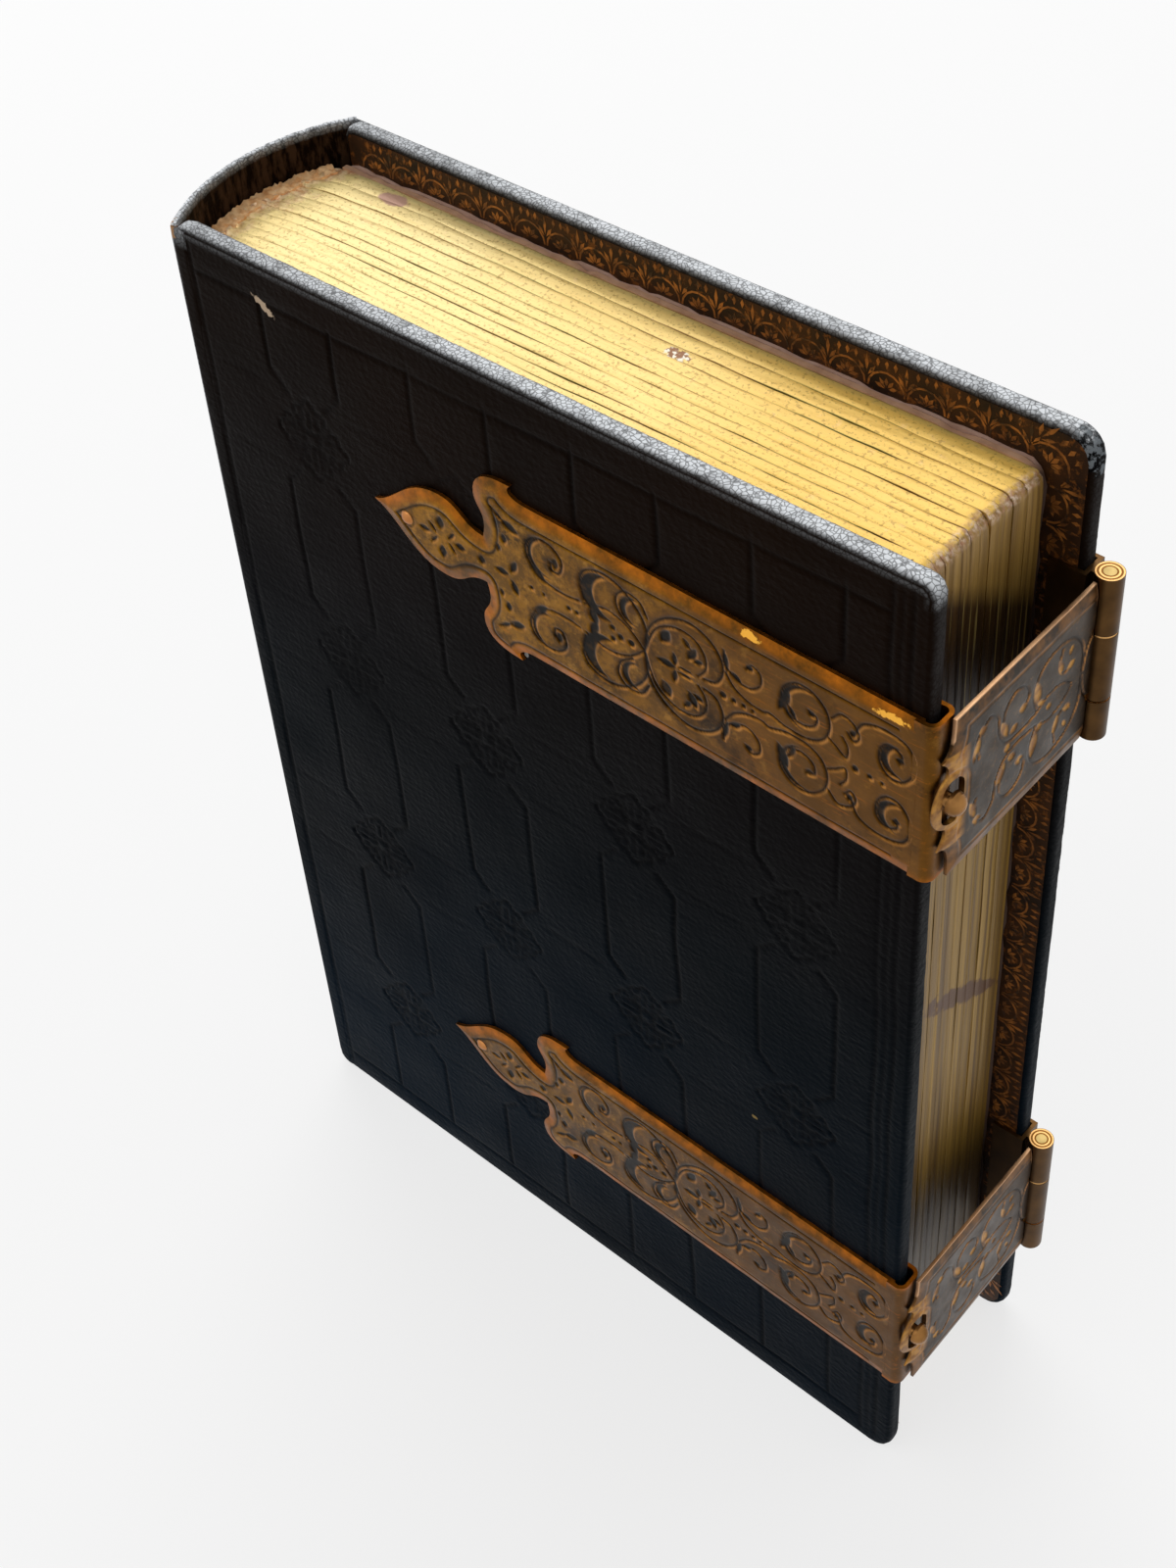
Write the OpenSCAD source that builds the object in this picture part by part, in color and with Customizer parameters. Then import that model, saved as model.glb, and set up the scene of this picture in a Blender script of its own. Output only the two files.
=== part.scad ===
// Photo album with leather covers, gilt card leaves and two brass clasps, standing on its tail edges.
// X runs from the spine to the fore-edge, Y from the front cover to the back cover, Z from tail to head.

/* [Covers] */
// Width of each cover from the spine joint to the fore-edge
board_w = 105.5; // [92:0.5:130]
// Height of each cover from tail to head
board_h = 155; // [145:0.5:200]
// Thickness of the closed album between the outer faces of its covers
album_t = 30; // [24:0.5:44]
// Thickness of the pasteboard inside each cover
core_t = 1.7; // [1.2:0.1:2.4]
// Thickness of the leather on the outer face and edges of each cover
leather_t = 0.6; // [0.5:0.05:0.9]
// Thickness of the leather turned in over the inner face
turn_in_t = 0.3; // [0.2:0.05:0.5]
// Width of the leather border turned in over the inner face
turn_in_w = 5.2; // [4:0.1:8]
// Radius of the covers' fore-edge corners
corner_r = 3; // [1.5:0.1:5]
// Rounding along the edges of the covers
edge_r = 0.8; // [0.4:0.05:1.1]
// Gap between the spine and the edge of each cover
joint_gap = 0.3; // [0.2:0.05:0.5]
// How far the paper lining stands proud of the turned-in leather
paste_proud = 0.4; // [0.2:0.05:0.6]

/* [Tooling] */
// Distance of the border line from the edges of the cover
border_in = 4.6; // [3.5:0.1:6]
// Width of a tooled line
line_w = 0.6; // [0.5:0.05:0.8]
// Depth of a tooled line
line_d = 0.2; // [0.1:0.02:0.3]
// Distance between two columns of flowers
pitch_x = 23.4; // [20:0.1:28]
// Distance between two rows of flowers
pitch_z = 35; // [30:0.1:42]
// Distance of the first column of flowers from the spine joint
first_x = 19.5; // [17:0.1:22]
// Height of the lowest row of flowers above the tail
first_z = 27.5; // [24:0.1:32]
// Width of the upright strips that carry the flowers
band_w = 11.2; // [9:0.1:13]
// Cut across the corners of each strip where it meets a flower
panel_cut = 2.6; // [1.5:0.1:4]
// Radius of a petal
petal_r = 2.5; // [2:0.1:2.7]
// Distance of a petal's near edge from the middle of its flower
petal_in = 0.4; // [0.3:0.05:0.45]
// Radius of the boss in the middle of a flower
boss_r = 0.5; // [0.5:0.05:0.7]
// Gap between a flower and the ends of the strips above and below it
flower_gap = 0.2; // [0.15:0.05:0.6]

/* [Pages] */
// Number of thick card leaves
leaf_count = 13; // [9:1:16]
// Distance of the leaves from the head and tail edges of the covers
square_z = 5; // [3:0.1:8]
// Distance of the leaves from the fore-edge of the covers
square_x = 4.6; // [3.5:0.1:7]
// How far the fore-edge of the leaves is hollowed at its middle
hollow = 0.8; // [0.2:0.1:2]
// Width of the groove between two leaves
notch_w = 0.3; // [0.2:0.05:0.5]
// Depth of the groove between two leaves
notch_d = 0.35; // [0.2:0.05:0.6]
// Thickness of a flyleaf
fly_t = 0.6; // [0.3:0.05:0.9]
// How far the flyleaves reach past the fore-edge of the leaves
fly_reach = 1; // [0:0.1:2]
// Gap between the lining of a cover and its flyleaf
page_gap = 0.3; // [0.2:0.05:0.5]

/* [Spine] */
// How far the rounded spine stands out behind the covers
spine_bulge = 4.5; // [3:0.1:7]
// Thickness of the spine leather with its stiffener
spine_t = 1; // [0.7:0.05:1.4]
// Thickness of the paper lining glued to the back of the leaves
lining_t = 1.2; // [0.7:0.05:1.8]

/* [Clasps] */
// Distance of the upper clasp's centre line from the head
upper_in = 27.5; // [20:0.5:40]
// Height of the lower clasp's centre line above the tail
lower_z = 31; // [22:0.5:45]
// Width of a clasp's plate and strap
clasp_w = 22; // [19:0.1:25]
// Length of the front plate from its tip to the fore-edge
plate_len = 76; // [68:0.5:84]
// Angle at which the front plates sit askew, with their tips towards the head
plate_tilt = 1.3; // [0:0.1:2]
// Thickness of the front plate
plate_t = 0.8; // [0.6:0.05:1.2]
// Distance of the leaf's widest place from its tip
leaf_peak = 10.7; // [9:0.1:12]
// Half the width of the leaf at its widest place
leaf_half = 5.95; // [4.5:0.05:7]
// Distance of the neck behind the leaf from the tip
neck_in = 17.4; // [16:0.1:19]
// Half the width of the neck
neck_half = 3.4; // [2.5:0.1:4.2]
// Distance of the ears' sides from the tip
ear_side = 16.4; // [15.5:0.1:17.5]
// Distance of the ears' points from the tip
ear_in = 22.1; // [21.5:0.1:24]
// How far the ears stand out past the plate's straight edges
ear_rise = 1.8; // [1:0.1:2.5]
// Length of the hollow behind each ear
ear_hollow = 2.1; // [1:0.1:3]
// Width of the rim around the front plate and the strap
rim_w = 1.2; // [0.8:0.05:1.6]
// Depth of the rim below the engraved field
rim_d = 0.25; // [0.1:0.05:0.35]
// Depth of the engraved scrolls
engrave_d = 0.15; // [0.08:0.01:0.25]
// Radius of an engraved scroll
scroll_r = 3.4; // [2.5:0.1:4]
// Distance between two scrolls along the plate
scroll_pitch = 11.5; // [9:0.1:12]
// Number of scrolls in each of the plate's two rows
scroll_count = 4; // [1:1:4]
// Distance of the first scroll from the fore-edge
scroll_in = 7; // [5.5:0.1:8]
// Distance of the scrolls from the clasp's centre line
scroll_z = 5.1; // [4.2:0.1:5.2]
// Thickness of the sheet that wraps the edges of the covers
sheet_t = 0.5; // [0.35:0.05:0.6]
// How far the front plate's lip stands out past the fore-edge
lip_reach = 1.3; // [1.1:0.05:1.6]
// Radius of the curl at the back of the lip
curl_r = 1.1; // [0.9:0.05:1.1]
// How far the lip hooks over the inner face of the cover
lip_hook = 1; // [0.5:0.1:2]
// Distance of the stud's axis behind the outer face of the front cover
stud_y = 1.5; // [1.35:0.05:1.7]
// Radius of the stud's head
stud_r = 1.4; // [1:0.05:1.5]
// Radius of the stud's neck
neck_r = 0.85; // [0.6:0.05:0.95]
// Height of the stud's domed head
stud_h = 1.5; // [1:0.05:1.8]
// How far the edge of the stud's head lies below the outer face of the strap
stud_sink = 0.1; // [0.05:0.05:0.3]
// Height of the bevel below the stud's head
stud_bevel = 0.2; // [0.1:0.05:0.4]
// Radius of the head of a tack
tack_r = 0.9; // [0.6:0.05:1.1]
// Height of the head of a tack
tack_h = 0.4; // [0.2:0.05:0.6]
// Radius of the shank of a tack
shank_r = 0.4; // [0.25:0.05:0.5]
// Length of the shank of a tack below its plate
shank_len = 1.6; // [1:0.1:1.7]
// Distance of the front plate's tack from the tip of the leaf
tack_in = 5.5; // [4.5:0.1:7]

/* [Strap and hinge] */
// Thickness of the strap
strap_t = 0.7; // [0.5:0.05:1]
// Gap between the lip and the strap
strap_gap = 0.3; // [0.2:0.05:0.5]
// Radius of the rounded end of the strap
bulge_r = 4; // [3.6:0.1:4.6]
// Distance of the rounded end's centre behind the middle of the slot
bulge_in = 0.9; // [0.4:0.1:1.5]
// Angle from the strap's centre line to the notches beside the rounded end
bulge_turn = 64; // [50:1:75]
// Distance of the strap's two cusps behind the outer face of the front cover
cusp_y = -0.2; // [-0.8:0.1:0.2]
// Distance of the strap's two cusps from its centre line
cusp_z = 6.2; // [5.6:0.1:7]
// Distance of the strap's front corners behind the outer face of the front cover
corner_y = 1.6; // [1:0.1:2.5]
// Distance of the first scroll on the strap behind the front cover's outer face
strap_scroll_y = 11; // [10:0.1:12]
// Distance between two scrolls along the strap
strap_scroll_pitch = 8.5; // [8:0.1:10]
// Side clearance between the stud's head and the slot
slot_gap = 0.35; // [0.25:0.05:0.5]
// How far the middle of the slot lies behind the stud, so that the strap can swing off it
slot_shift = 0.15; // [0:0.05:0.2]
// Extra height of the slot above and below the stud's head
slot_rise = 1.3; // [0.6:0.1:2]
// Outer radius of the hinge barrel
barrel_r = 1.6; // [1.3:0.05:2]
// Radius of the hinge pin
pin_r = 0.7; // [0.5:0.05:0.8]
// Running clearance between the pin and the strap's bore
pin_gap = 0.05; // [0.03:0.01:0.08]
// Gap between the barrel and the sheet, and round the knuckles
barrel_gap = 0.3; // [0.2:0.05:0.5]
// Height of the upper knuckle
knuckle_top = 7.6; // [5:0.1:9]
// Height of the strap's knuckle
knuckle_mid = 9.2; // [7:0.1:11]
// End play between two knuckles
knuckle_gap = 0.15; // [0.1:0.05:0.3]
// How far the barrel stands above the strap
barrel_rise = 0.6; // [0:0.1:1.2]
// Distance of the hinge axis in front of the back cover's outer face
hinge_in = 1.7; // [1.6:0.05:2]
// Length of the hinge plate on the inner face of the back cover
inner_flange = 4; // [2:0.1:4.5]
// Length of the hinge plate on the outer face of the back cover
outer_flange = 9; // [7:0.1:14]
// Distance of the hinge plate's tacks from the fore-edge
hinge_tack_in = 6; // [4:0.1:6.5]
// Distance between the two tacks of a hinge plate
hinge_tack_pitch = 12; // [8:0.5:16]

/* [Hidden] */
$fn = 48;
spine_facets = 180;

// Colours of the finishes
leather_colour = "#1a1614";
gilt_colour = "#e2be62";
board_colour = "#8d7a5e";
paste_colour = "#a07860";
fly_colour = "#6f4a35";
lining_colour = "#b07c50";
brass_colour = "#96672f";
strap_colour = "#6a5b4c";
steel_colour = "#8a7a5c";

// Layers of a cover and of what lies between the covers
cover_t = leather_t + core_t + turn_in_t;
fly_y = cover_t + paste_proud + page_gap;
block_y = fly_y + fly_t;
block_t = album_t - 2 * block_y;
leaf_t = block_t / leaf_count;
block_h = board_h - 2 * square_z;
block_x = board_w - square_x;

// Middle of a petal and end of a strip, both from the middle of a flower
petal_out = petal_in + petal_r;
strip_end = petal_out + petal_r + flower_gap;

// The spine's outer arc goes through both joints and the farthest point of the bulge
spine_r = (pow(album_t / 2, 2) + pow(spine_bulge, 2)) / (2 * spine_bulge);
spine_x = spine_r - spine_bulge;
lining_r = spine_r - spine_t;
block_r = lining_r - lining_t;

// Places of the clasps' parts
upper_z = board_h - upper_in;
plate_end = plate_len - lip_reach / 2;
half_w = clasp_w / 2;
strap_x = board_w + lip_reach + strap_gap;
hinge_x = board_w + sheet_t + barrel_gap + barrel_r;
hinge_y = album_t - hinge_in;
barrel_len = clasp_w + barrel_rise;
knuckle_low = barrel_len - knuckle_top - knuckle_mid - 2 * knuckle_gap;
slot_y = stud_y + slot_shift;
slot_r = stud_r + slot_gap;
stud_top = strap_gap + strap_t - stud_sink;
bulge_y = slot_y + bulge_in;

// The origin is at the middle of the base of the whole object
x_low = -spine_bulge;
x_high = max(hinge_x + barrel_r, board_w + lip_reach + stud_top + stud_h);
y_low = min(-plate_t - tack_h, bulge_y - bulge_r, cusp_y);
y_high = album_t + sheet_t + tack_h;
arc_steps = 4;
curve_steps = 6;
cut = 1;

// Points of an arc from one angle to another
function arc_points(x, y, r, from, to, steps) =
  [for (i = [0:steps]) let (a = from + (to - from) * i / steps) [x + r * cos(a), y + r * sin(a)]];

// Points of a cubic curve after its first point
function curve_points(a, b, c, d, steps) =
  [for (i = [1:steps]) let (t = i / steps, s = 1 - t)
    s * s * s * a + 3 * s * s * t * b + 3 * s * t * t * c + t * t * t * d];

// Rectangle with rounded corners: r1 at the low X side, r2 at the high X side
function rounded_box(x0, y0, x1, y1, r1, r2) = concat(
  arc_points(x1 - r2, y1 - r2, r2, 0, 90, arc_steps),
  arc_points(x0 + r1, y1 - r1, r1, 90, 180, arc_steps),
  arc_points(x0 + r1, y0 + r1, r1, 180, 270, arc_steps),
  arc_points(x1 - r2, y0 + r2, r2, 270, 360, arc_steps));

// Upper half of the front plate's outline, from the tip of the leaf to the straight edge
function plate_half(w) =
  let (waist = (leaf_peak + neck_in) / 2, notch = (neck_half + w) / 2, ear = w + ear_rise)
    concat(
      [[0, 0]],
      curve_points([0, 0], [leaf_peak / 3, leaf_half / 6], [leaf_peak / 2, leaf_half],
        [leaf_peak, leaf_half], curve_steps),
      curve_points([leaf_peak, leaf_half], [waist, leaf_half], [waist, neck_half],
        [neck_in, neck_half], curve_steps),
      curve_points([neck_in, neck_half], [neck_in + ear_hollow / 2, notch], [ear_side, notch],
        [ear_side, w - ear_rise], curve_steps),
      curve_points([ear_side, w - ear_rise], [ear_side, ear], [ear_in - ear_hollow, ear],
        [ear_in, ear], curve_steps),
      curve_points([ear_in, ear], [ear_in - ear_hollow / 2, w + ear_rise / 2], [ear_in, w],
        [ear_in + ear_hollow, w], curve_steps));

// Lower half of a symmetric outline, walked back to its start
function mirrored(points) = [for (i = [len(points) - 1:-1:1]) [points[i][0], -points[i][1]]];

// Upper half of the strap's front end, from the rounded end to the top corner
function strap_half(w) = concat(
  arc_points(bulge_y, 0, bulge_r, 180, 180 - bulge_turn, arc_steps),
  [[cusp_y, cusp_z]],
  curve_points([cusp_y, cusp_z], [corner_y, cusp_z], [corner_y, (cusp_z + w) / 2],
    [corner_y, w], arc_steps));

// Moves the album so that the origin is at the middle of its base
module place() {
  translate([-(x_low + x_high) / 2, -(y_low + y_high) / 2, 0]) children();
}

// Turns what is drawn for the front cover over to the back cover
module to_back() {
  translate([0, album_t, 0]) mirror([0, 1, 0]) children();
}

// Lays an outline drawn in X and Z on the front cover's face and gives it a depth towards the front
module on_front(depth) {
  rotate([90, 0, 0]) linear_extrude(depth) children();
}

// Pasteboard of a cover
module cover_core() {
  translate([0, leather_t + core_t, 0])
    on_front(core_t)
      polygon(rounded_box(joint_gap + leather_t, leather_t, board_w - leather_t, board_h - leather_t,
        edge_r, corner_r - leather_t));
}

// Whole cover with rounded edges, before the board and the lining are taken out of it
module cover_blank() {
  intersection() {
    translate([0, cover_t, 0])
      on_front(cover_t)
        polygon(rounded_box(joint_gap, 0, board_w, board_h, edge_r, corner_r));
    linear_extrude(board_h)
      polygon(rounded_box(joint_gap, 0, board_w, cover_t, edge_r, edge_r));
    rotate([90, 0, 90])
      linear_extrude(board_w)
        polygon(rounded_box(0, 0, cover_t, board_h, edge_r, edge_r));
  }
}

// Area of the paper lining inside the turned-in leather
module paste_area() {
  polygon(rounded_box(joint_gap + leather_t, turn_in_w, board_w - turn_in_w, board_h - turn_in_w,
    edge_r, edge_r));
}

// One strip of the trellis with its four corners cut off
module panel_shape(x0, z0, x1, z1, c) {
  polygon([[x0 + c, z0], [x1 - c, z0], [x1, z0 + c], [x1, z1 - c],
    [x1 - c, z1], [x0 + c, z1], [x0, z1 - c], [x0, z0 + c]]);
}

// Line round a strip
module panel_line(x0, z0, x1, z1) {
  difference() {
    panel_shape(x0, z0, x1, z1, panel_cut);
    panel_shape(x0 + line_w, z0 + line_w, x1 - line_w, z1 - line_w, panel_cut);
  }
}

// The four lobes of a flower, each with radius r
module lobes(r) {
  for (a = [0:90:270]) rotate(a) translate([petal_out, 0]) circle(r);
}

// Flower drawn by a line round its four lobes, with a boss in its middle
module flower_shape() {
  difference() {
    lobes(petal_r);
    lobes(petal_r - line_w);
  }
  circle(boss_r);
}

// Thin line across the space between two strips, from x0 to x1
module cross_line(x0, x1, z) {
  translate([x0, z - line_w / 2]) square([x1 - x0, line_w]);
}

// Face of a cover inside a margin
module inside(margin) {
  translate([margin, margin]) square([board_w - 2 * margin, board_h - 2 * margin]);
}

// Trellis of strips and flowers inside a border line, drawn in X and Z
module trellis() {
  columns = floor((board_w - border_in - first_x) / pitch_x);
  rows = floor((board_h - border_in - first_z) / pitch_z);
  intersection() {
    inside(border_in + 2 * line_w);
    union() {
      for (i = [0:columns], j = [-1:rows])
        panel_line(first_x + i * pitch_x - band_w / 2, first_z + j * pitch_z + strip_end,
          first_x + i * pitch_x + band_w / 2, first_z + (j + 1) * pitch_z - strip_end);
      for (i = [-1:columns], j = [0:rows], side = [-1, 1])
        cross_line(first_x + i * pitch_x + band_w / 2 + line_w,
          first_x + (i + 1) * pitch_x - band_w / 2 - line_w, first_z + j * pitch_z + side * strip_end);
      for (i = [0:columns], j = [0:rows])
        translate([first_x + i * pitch_x, first_z + j * pitch_z]) flower_shape();
    }
  }
  difference() {
    inside(border_in);
    inside(border_in + line_w);
  }
}

// Leather of a cover: outer face, edges and turned-in border, with the tooled lines pressed in
module cover_leather() {
  difference() {
    cover_blank();
    cover_core();
    translate([0, cover_t + cut, 0]) on_front(turn_in_t + cut) paste_area();
    translate([0, line_d, 0]) on_front(line_d + cut) trellis();
  }
}

// Paper lining of a cover
module cover_lining() {
  translate([0, cover_t + paste_proud, 0]) on_front(turn_in_t + paste_proud) paste_area();
}

// Turns what lies on the front cover askew about the fore-edge end of the clasp at height z
module askew(z) {
  translate([board_w, 0, z]) rotate([0, plate_tilt, 0]) translate([-board_w, 0, -z]) children();
}

// Shank of the front plate's tack, from the plate's face into the board
module plate_shank(z) {
  askew(z)
    translate([board_w - plate_len + tack_in, shank_len, z])
      rotate([90, 0, 0]) cylinder(h = shank_len + plate_t, r = shank_r);
}

// Shanks of the hinge plate's two tacks, from its outer face into the back board
module hinge_shanks(z) {
  for (side = [-1, 1])
    translate([board_w - hinge_tack_in, album_t + sheet_t, z + side * hinge_tack_pitch / 2])
      rotate([90, 0, 0]) cylinder(h = shank_len + sheet_t, r = shank_r);
}

// Domed head of a tack, with its flat base at the origin and its dome along +Z
module tack_head() {
  dome_r = (tack_r * tack_r + tack_h * tack_h) / (2 * tack_h);
  rotate_extrude()
    polygon(concat([[0, 0]],
      arc_points(0, tack_h - dome_r, dome_r, asin((dome_r - tack_h) / dome_r), 90, curve_steps)));
}

// Outline of the front plate with its tip at X = 0
module plate_shape() {
  top = plate_half(half_w);
  polygon(concat(top, [[plate_end, half_w], [plate_end, -half_w]], mirrored(top)));
}

// Pair of engraved rings, one above and one below the centre line
module scroll_rings(r) {
  for (side = [-1, 1])
    translate([0, side * scroll_z])
      difference() {
        circle(r);
        circle(r - line_w / 2);
      }
}

// Lip of the front plate in X and Y, folded round the fore-edge of the front cover
module lip_shape() {
  back_y = cover_t + sheet_t;
  fold_y = lip_reach - plate_t;
  polygon(concat(
    [[-lip_reach, 0], [-lip_reach, -plate_t]],
    arc_points(0, fold_y, lip_reach, -90, 0, arc_steps),
    arc_points(lip_reach - curl_r, back_y - curl_r, curl_r, 0, 90, arc_steps),
    [[-lip_hook, back_y], [-lip_hook, cover_t]],
    arc_points(lip_reach - curl_r, back_y - curl_r, curl_r - sheet_t, 90, 0, arc_steps),
    arc_points(0, fold_y, lip_reach - sheet_t, 0, -90, arc_steps),
    [[0, 0]]));
}

// Engraved sheet of the front plate at height z, before it is turned askew
module plate_sheet(z) {
  difference() {
    translate([board_w - plate_len, 0, z]) {
      on_front(plate_t - rim_d) plate_shape();
      on_front(plate_t) {
        offset(delta = -rim_w) plate_shape();
        translate([plate_end - 2 * rim_w, -half_w + rim_w]) square([2 * rim_w, clasp_w - 2 * rim_w]);
      }
    }
    translate([board_w - plate_len, -plate_t + engrave_d, z])
      on_front(engrave_d + cut)
        for (i = [0:scroll_count - 1], r = [scroll_r, scroll_r / 2])
          translate([plate_len - scroll_in - i * scroll_pitch, 0]) scroll_rings(r);
  }
}

// Front plate of a clasp at height z, with its lip
module front_plate(z) {
  difference() {
    union() {
      askew(z) plate_sheet(z);
      translate([board_w, 0, z - half_w]) linear_extrude(clasp_w) lip_shape();
    }
    plate_shank(z);
  }
}

// Stud on the lip of the front plate at height z
module stud(z) {
  dome_r = (stud_r * stud_r + stud_h * stud_h) / (2 * stud_h);
  translate([board_w + lip_reach, stud_y, z])
    rotate([0, 90, 0])
      rotate_extrude()
        polygon(concat([[0, 0], [neck_r, 0], [neck_r, stud_top - stud_bevel], [stud_r, stud_top]],
          arc_points(0, stud_top + stud_h - dome_r, dome_r, asin((dome_r - stud_h) / dome_r), 90,
            curve_steps)));
}

// Tack that holds the leaf end of the front plate at height z
module plate_tack(z) {
  plate_shank(z);
  askew(z) translate([board_w - plate_len + tack_in, -plate_t, z]) rotate([90, 0, 0]) tack_head();
}

// One knuckle of the hinge from height z0 up to z1
module knuckle(z0, z1) {
  translate([hinge_x, hinge_y, z0]) cylinder(h = z1 - z0, r = barrel_r);
}

// Hinge plate folded round the back cover's fore-edge, with its upper and lower knuckles
module hinge_plate(z) {
  low = z - half_w;
  top = low + barrel_len;
  difference() {
    union() {
      translate([board_w - outer_flange, album_t, low]) cube([outer_flange + sheet_t, sheet_t, clasp_w]);
      translate([board_w, album_t - cover_t - sheet_t, low])
        cube([sheet_t, cover_t + 2 * sheet_t, clasp_w]);
      translate([board_w - inner_flange, album_t - cover_t - sheet_t, low])
        cube([inner_flange + sheet_t, sheet_t, clasp_w]);
      for (span = [[low, low + knuckle_low], [top - knuckle_top, top]]) {
        knuckle(span[0], span[1]);
        translate([board_w, hinge_y - sheet_t, span[0]])
          cube([hinge_x - board_w, 2 * sheet_t, min(span[1], low + clasp_w) - span[0]]);
      }
    }
    translate([hinge_x, hinge_y, low - cut]) cylinder(h = barrel_len + 2 * cut, r = pin_r);
    hinge_shanks(z);
  }
}

// Pin of the hinge at height z
module hinge_pin(z) {
  translate([hinge_x, hinge_y, z - half_w]) cylinder(h = barrel_len, r = pin_r);
}

// Tacks that hold the hinge plate at height z
module hinge_tacks(z) {
  hinge_shanks(z);
  for (side = [-1, 1])
    translate([board_w - hinge_tack_in, album_t + sheet_t, z + side * hinge_tack_pitch / 2])
      rotate([-90, 0, 0]) tack_head();
}

// Outline of the strap in Y and Z, from its rounded front end to the hinge
module strap_shape() {
  end_y = hinge_y - barrel_r - barrel_gap;
  top = strap_half(half_w);
  polygon(concat([for (i = [1:len(top) - 1]) top[i]], [[end_y, half_w], [end_y, -half_w]],
    [for (i = [len(top) - 1:-1:0]) [top[i][0], -top[i][1]]]));
}

// Strap of a clasp at height z, hooked over its stud and turning on the hinge pin
module strap(z) {
  knuckle_z = z - half_w + knuckle_low + knuckle_gap;
  difference() {
    union() {
      translate([strap_x, 0, z])
        rotate([90, 0, 90]) linear_extrude(strap_t - rim_d) strap_shape();
      translate([strap_x, 0, z])
        rotate([90, 0, 90]) linear_extrude(strap_t) offset(delta = -rim_w) strap_shape();
      translate([strap_x, hinge_y - 2 * barrel_r, knuckle_z])
        cube([strap_t, 2 * barrel_r, knuckle_mid]);
      knuckle(knuckle_z, knuckle_z + knuckle_mid);
    }
    translate([hinge_x, hinge_y, knuckle_z - cut]) cylinder(h = knuckle_mid + 2 * cut, r = pin_r + pin_gap);
    for (side = [-1, 1])
      translate([strap_x - cut, slot_y, z + side * slot_rise])
        rotate([0, 90, 0]) cylinder(h = strap_t + 2 * cut, r = slot_r);
    translate([strap_x - cut, slot_y - slot_r, z - slot_rise])
      cube([strap_t + 2 * cut, 2 * slot_r, 2 * slot_rise]);
    translate([strap_x + strap_t - engrave_d, 0, z])
      rotate([90, 0, 90])
        linear_extrude(engrave_d + cut)
          for (i = [0, 1]) translate([strap_scroll_y + i * strap_scroll_pitch, 0]) scroll_rings(scroll_r);
  }
}

// Gilt card leaves: rounded at the spine, hollowed at the fore-edge, a groove between each two
module page_block() {
  color(gilt_colour) place() difference() {
    translate([0, 0, square_z]) linear_extrude(block_h) polygon(concat(block_back(), block_front()));
    for (i = [1:leaf_count - 1], z = [square_z - cut, board_h - square_z - notch_d])
      translate([-spine_bulge, block_y + i * leaf_t - notch_w / 2, z])
        cube([board_w + spine_bulge, notch_w, notch_d + cut]);
  }
}

// Rounded back of the leaves, from the back cover's side to the front cover's side
function block_back() =
  [for (i = [0:2 * curve_steps]) let (y = block_y + block_t * (1 - i / (2 * curve_steps)))
    [spine_x - sqrt(pow(block_r, 2) - pow(y - album_t / 2, 2)), y]];

// Place of the hollowed fore-edge for a distance y behind the front cover's face
function fore_x(y) = block_x - hollow * (1 - pow((y - album_t / 2) / (block_t / 2), 2));

// Fore-edge of the leaves with its grooves, from the front to the back
function block_front() =
  [for (i = [0:leaf_count - 1], k = [0:2])
    let (y0 = block_y + i * leaf_t, y1 = y0 + leaf_t)
      k == 0 ? [fore_x(y0), y0 + (i == 0 ? 0 : notch_w / 2)] :
      k == 1 ? [fore_x(y1), y1 - (i == leaf_count - 1 ? 0 : notch_w / 2)] :
      [fore_x(y1) - (i == leaf_count - 1 ? 0 : notch_d), y1]];

// Flyleaf next to a cover, y is the distance of its nearer face from the front
module flyleaf(y) {
  start_x = spine_x - sqrt(pow(block_r, 2) - pow(block_y - album_t / 2, 2));
  translate([start_x, y, square_z]) cube([block_x + fly_reach - start_x, fly_t, block_h]);
}

module front_flyleaf() {
  color(fly_colour) place() flyleaf(fly_y);
}

module back_flyleaf() {
  color(fly_colour) place() flyleaf(album_t - fly_y - fly_t);
}

// Rounded leather spine between the two joints
module spine_leather() {
  color(leather_colour) place()
    intersection() {
      translate([spine_x, album_t / 2, 0])
        difference() {
          cylinder(h = board_h, r = spine_r, $fn = spine_facets);
          translate([0, 0, -cut]) cylinder(h = board_h + 2 * cut, r = lining_r, $fn = spine_facets);
        }
      translate([-2 * spine_bulge, 0, 0]) cube([2 * spine_bulge, album_t, board_h]);
    }
}

// Paper lining glued over the rounded back of the leaves
module spine_lining() {
  color(lining_colour) place()
    intersection() {
      translate([spine_x, album_t / 2, square_z])
        difference() {
          cylinder(h = block_h, r = lining_r, $fn = spine_facets);
          translate([0, 0, -cut])
            linear_extrude(block_h + 2 * cut)
              translate([-spine_x, -album_t / 2]) polygon(concat(block_back(),
                [[spine_x, block_y], [spine_x, block_y + block_t]]));
        }
      translate([-2 * spine_bulge, block_y, square_z]) cube([3 * spine_bulge, block_t, block_h]);
    }
}

module front_board() {
  color(board_colour) place() difference() {
    cover_core();
    plate_shank(upper_z);
    plate_shank(lower_z);
  }
}

module front_leather() {
  color(leather_colour) place() difference() {
    cover_leather();
    plate_shank(upper_z);
    plate_shank(lower_z);
  }
}

module front_pastedown() {
  color(paste_colour) place() cover_lining();
}

module upper_front_plate() {
  color(brass_colour) place() front_plate(upper_z);
}

module lower_front_plate() {
  color(brass_colour) place() front_plate(lower_z);
}

module upper_stud() {
  color(brass_colour) place() stud(upper_z);
}

module lower_stud() {
  color(brass_colour) place() stud(lower_z);
}

module upper_plate_tack() {
  color(brass_colour) place() plate_tack(upper_z);
}

module lower_plate_tack() {
  color(brass_colour) place() plate_tack(lower_z);
}

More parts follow.
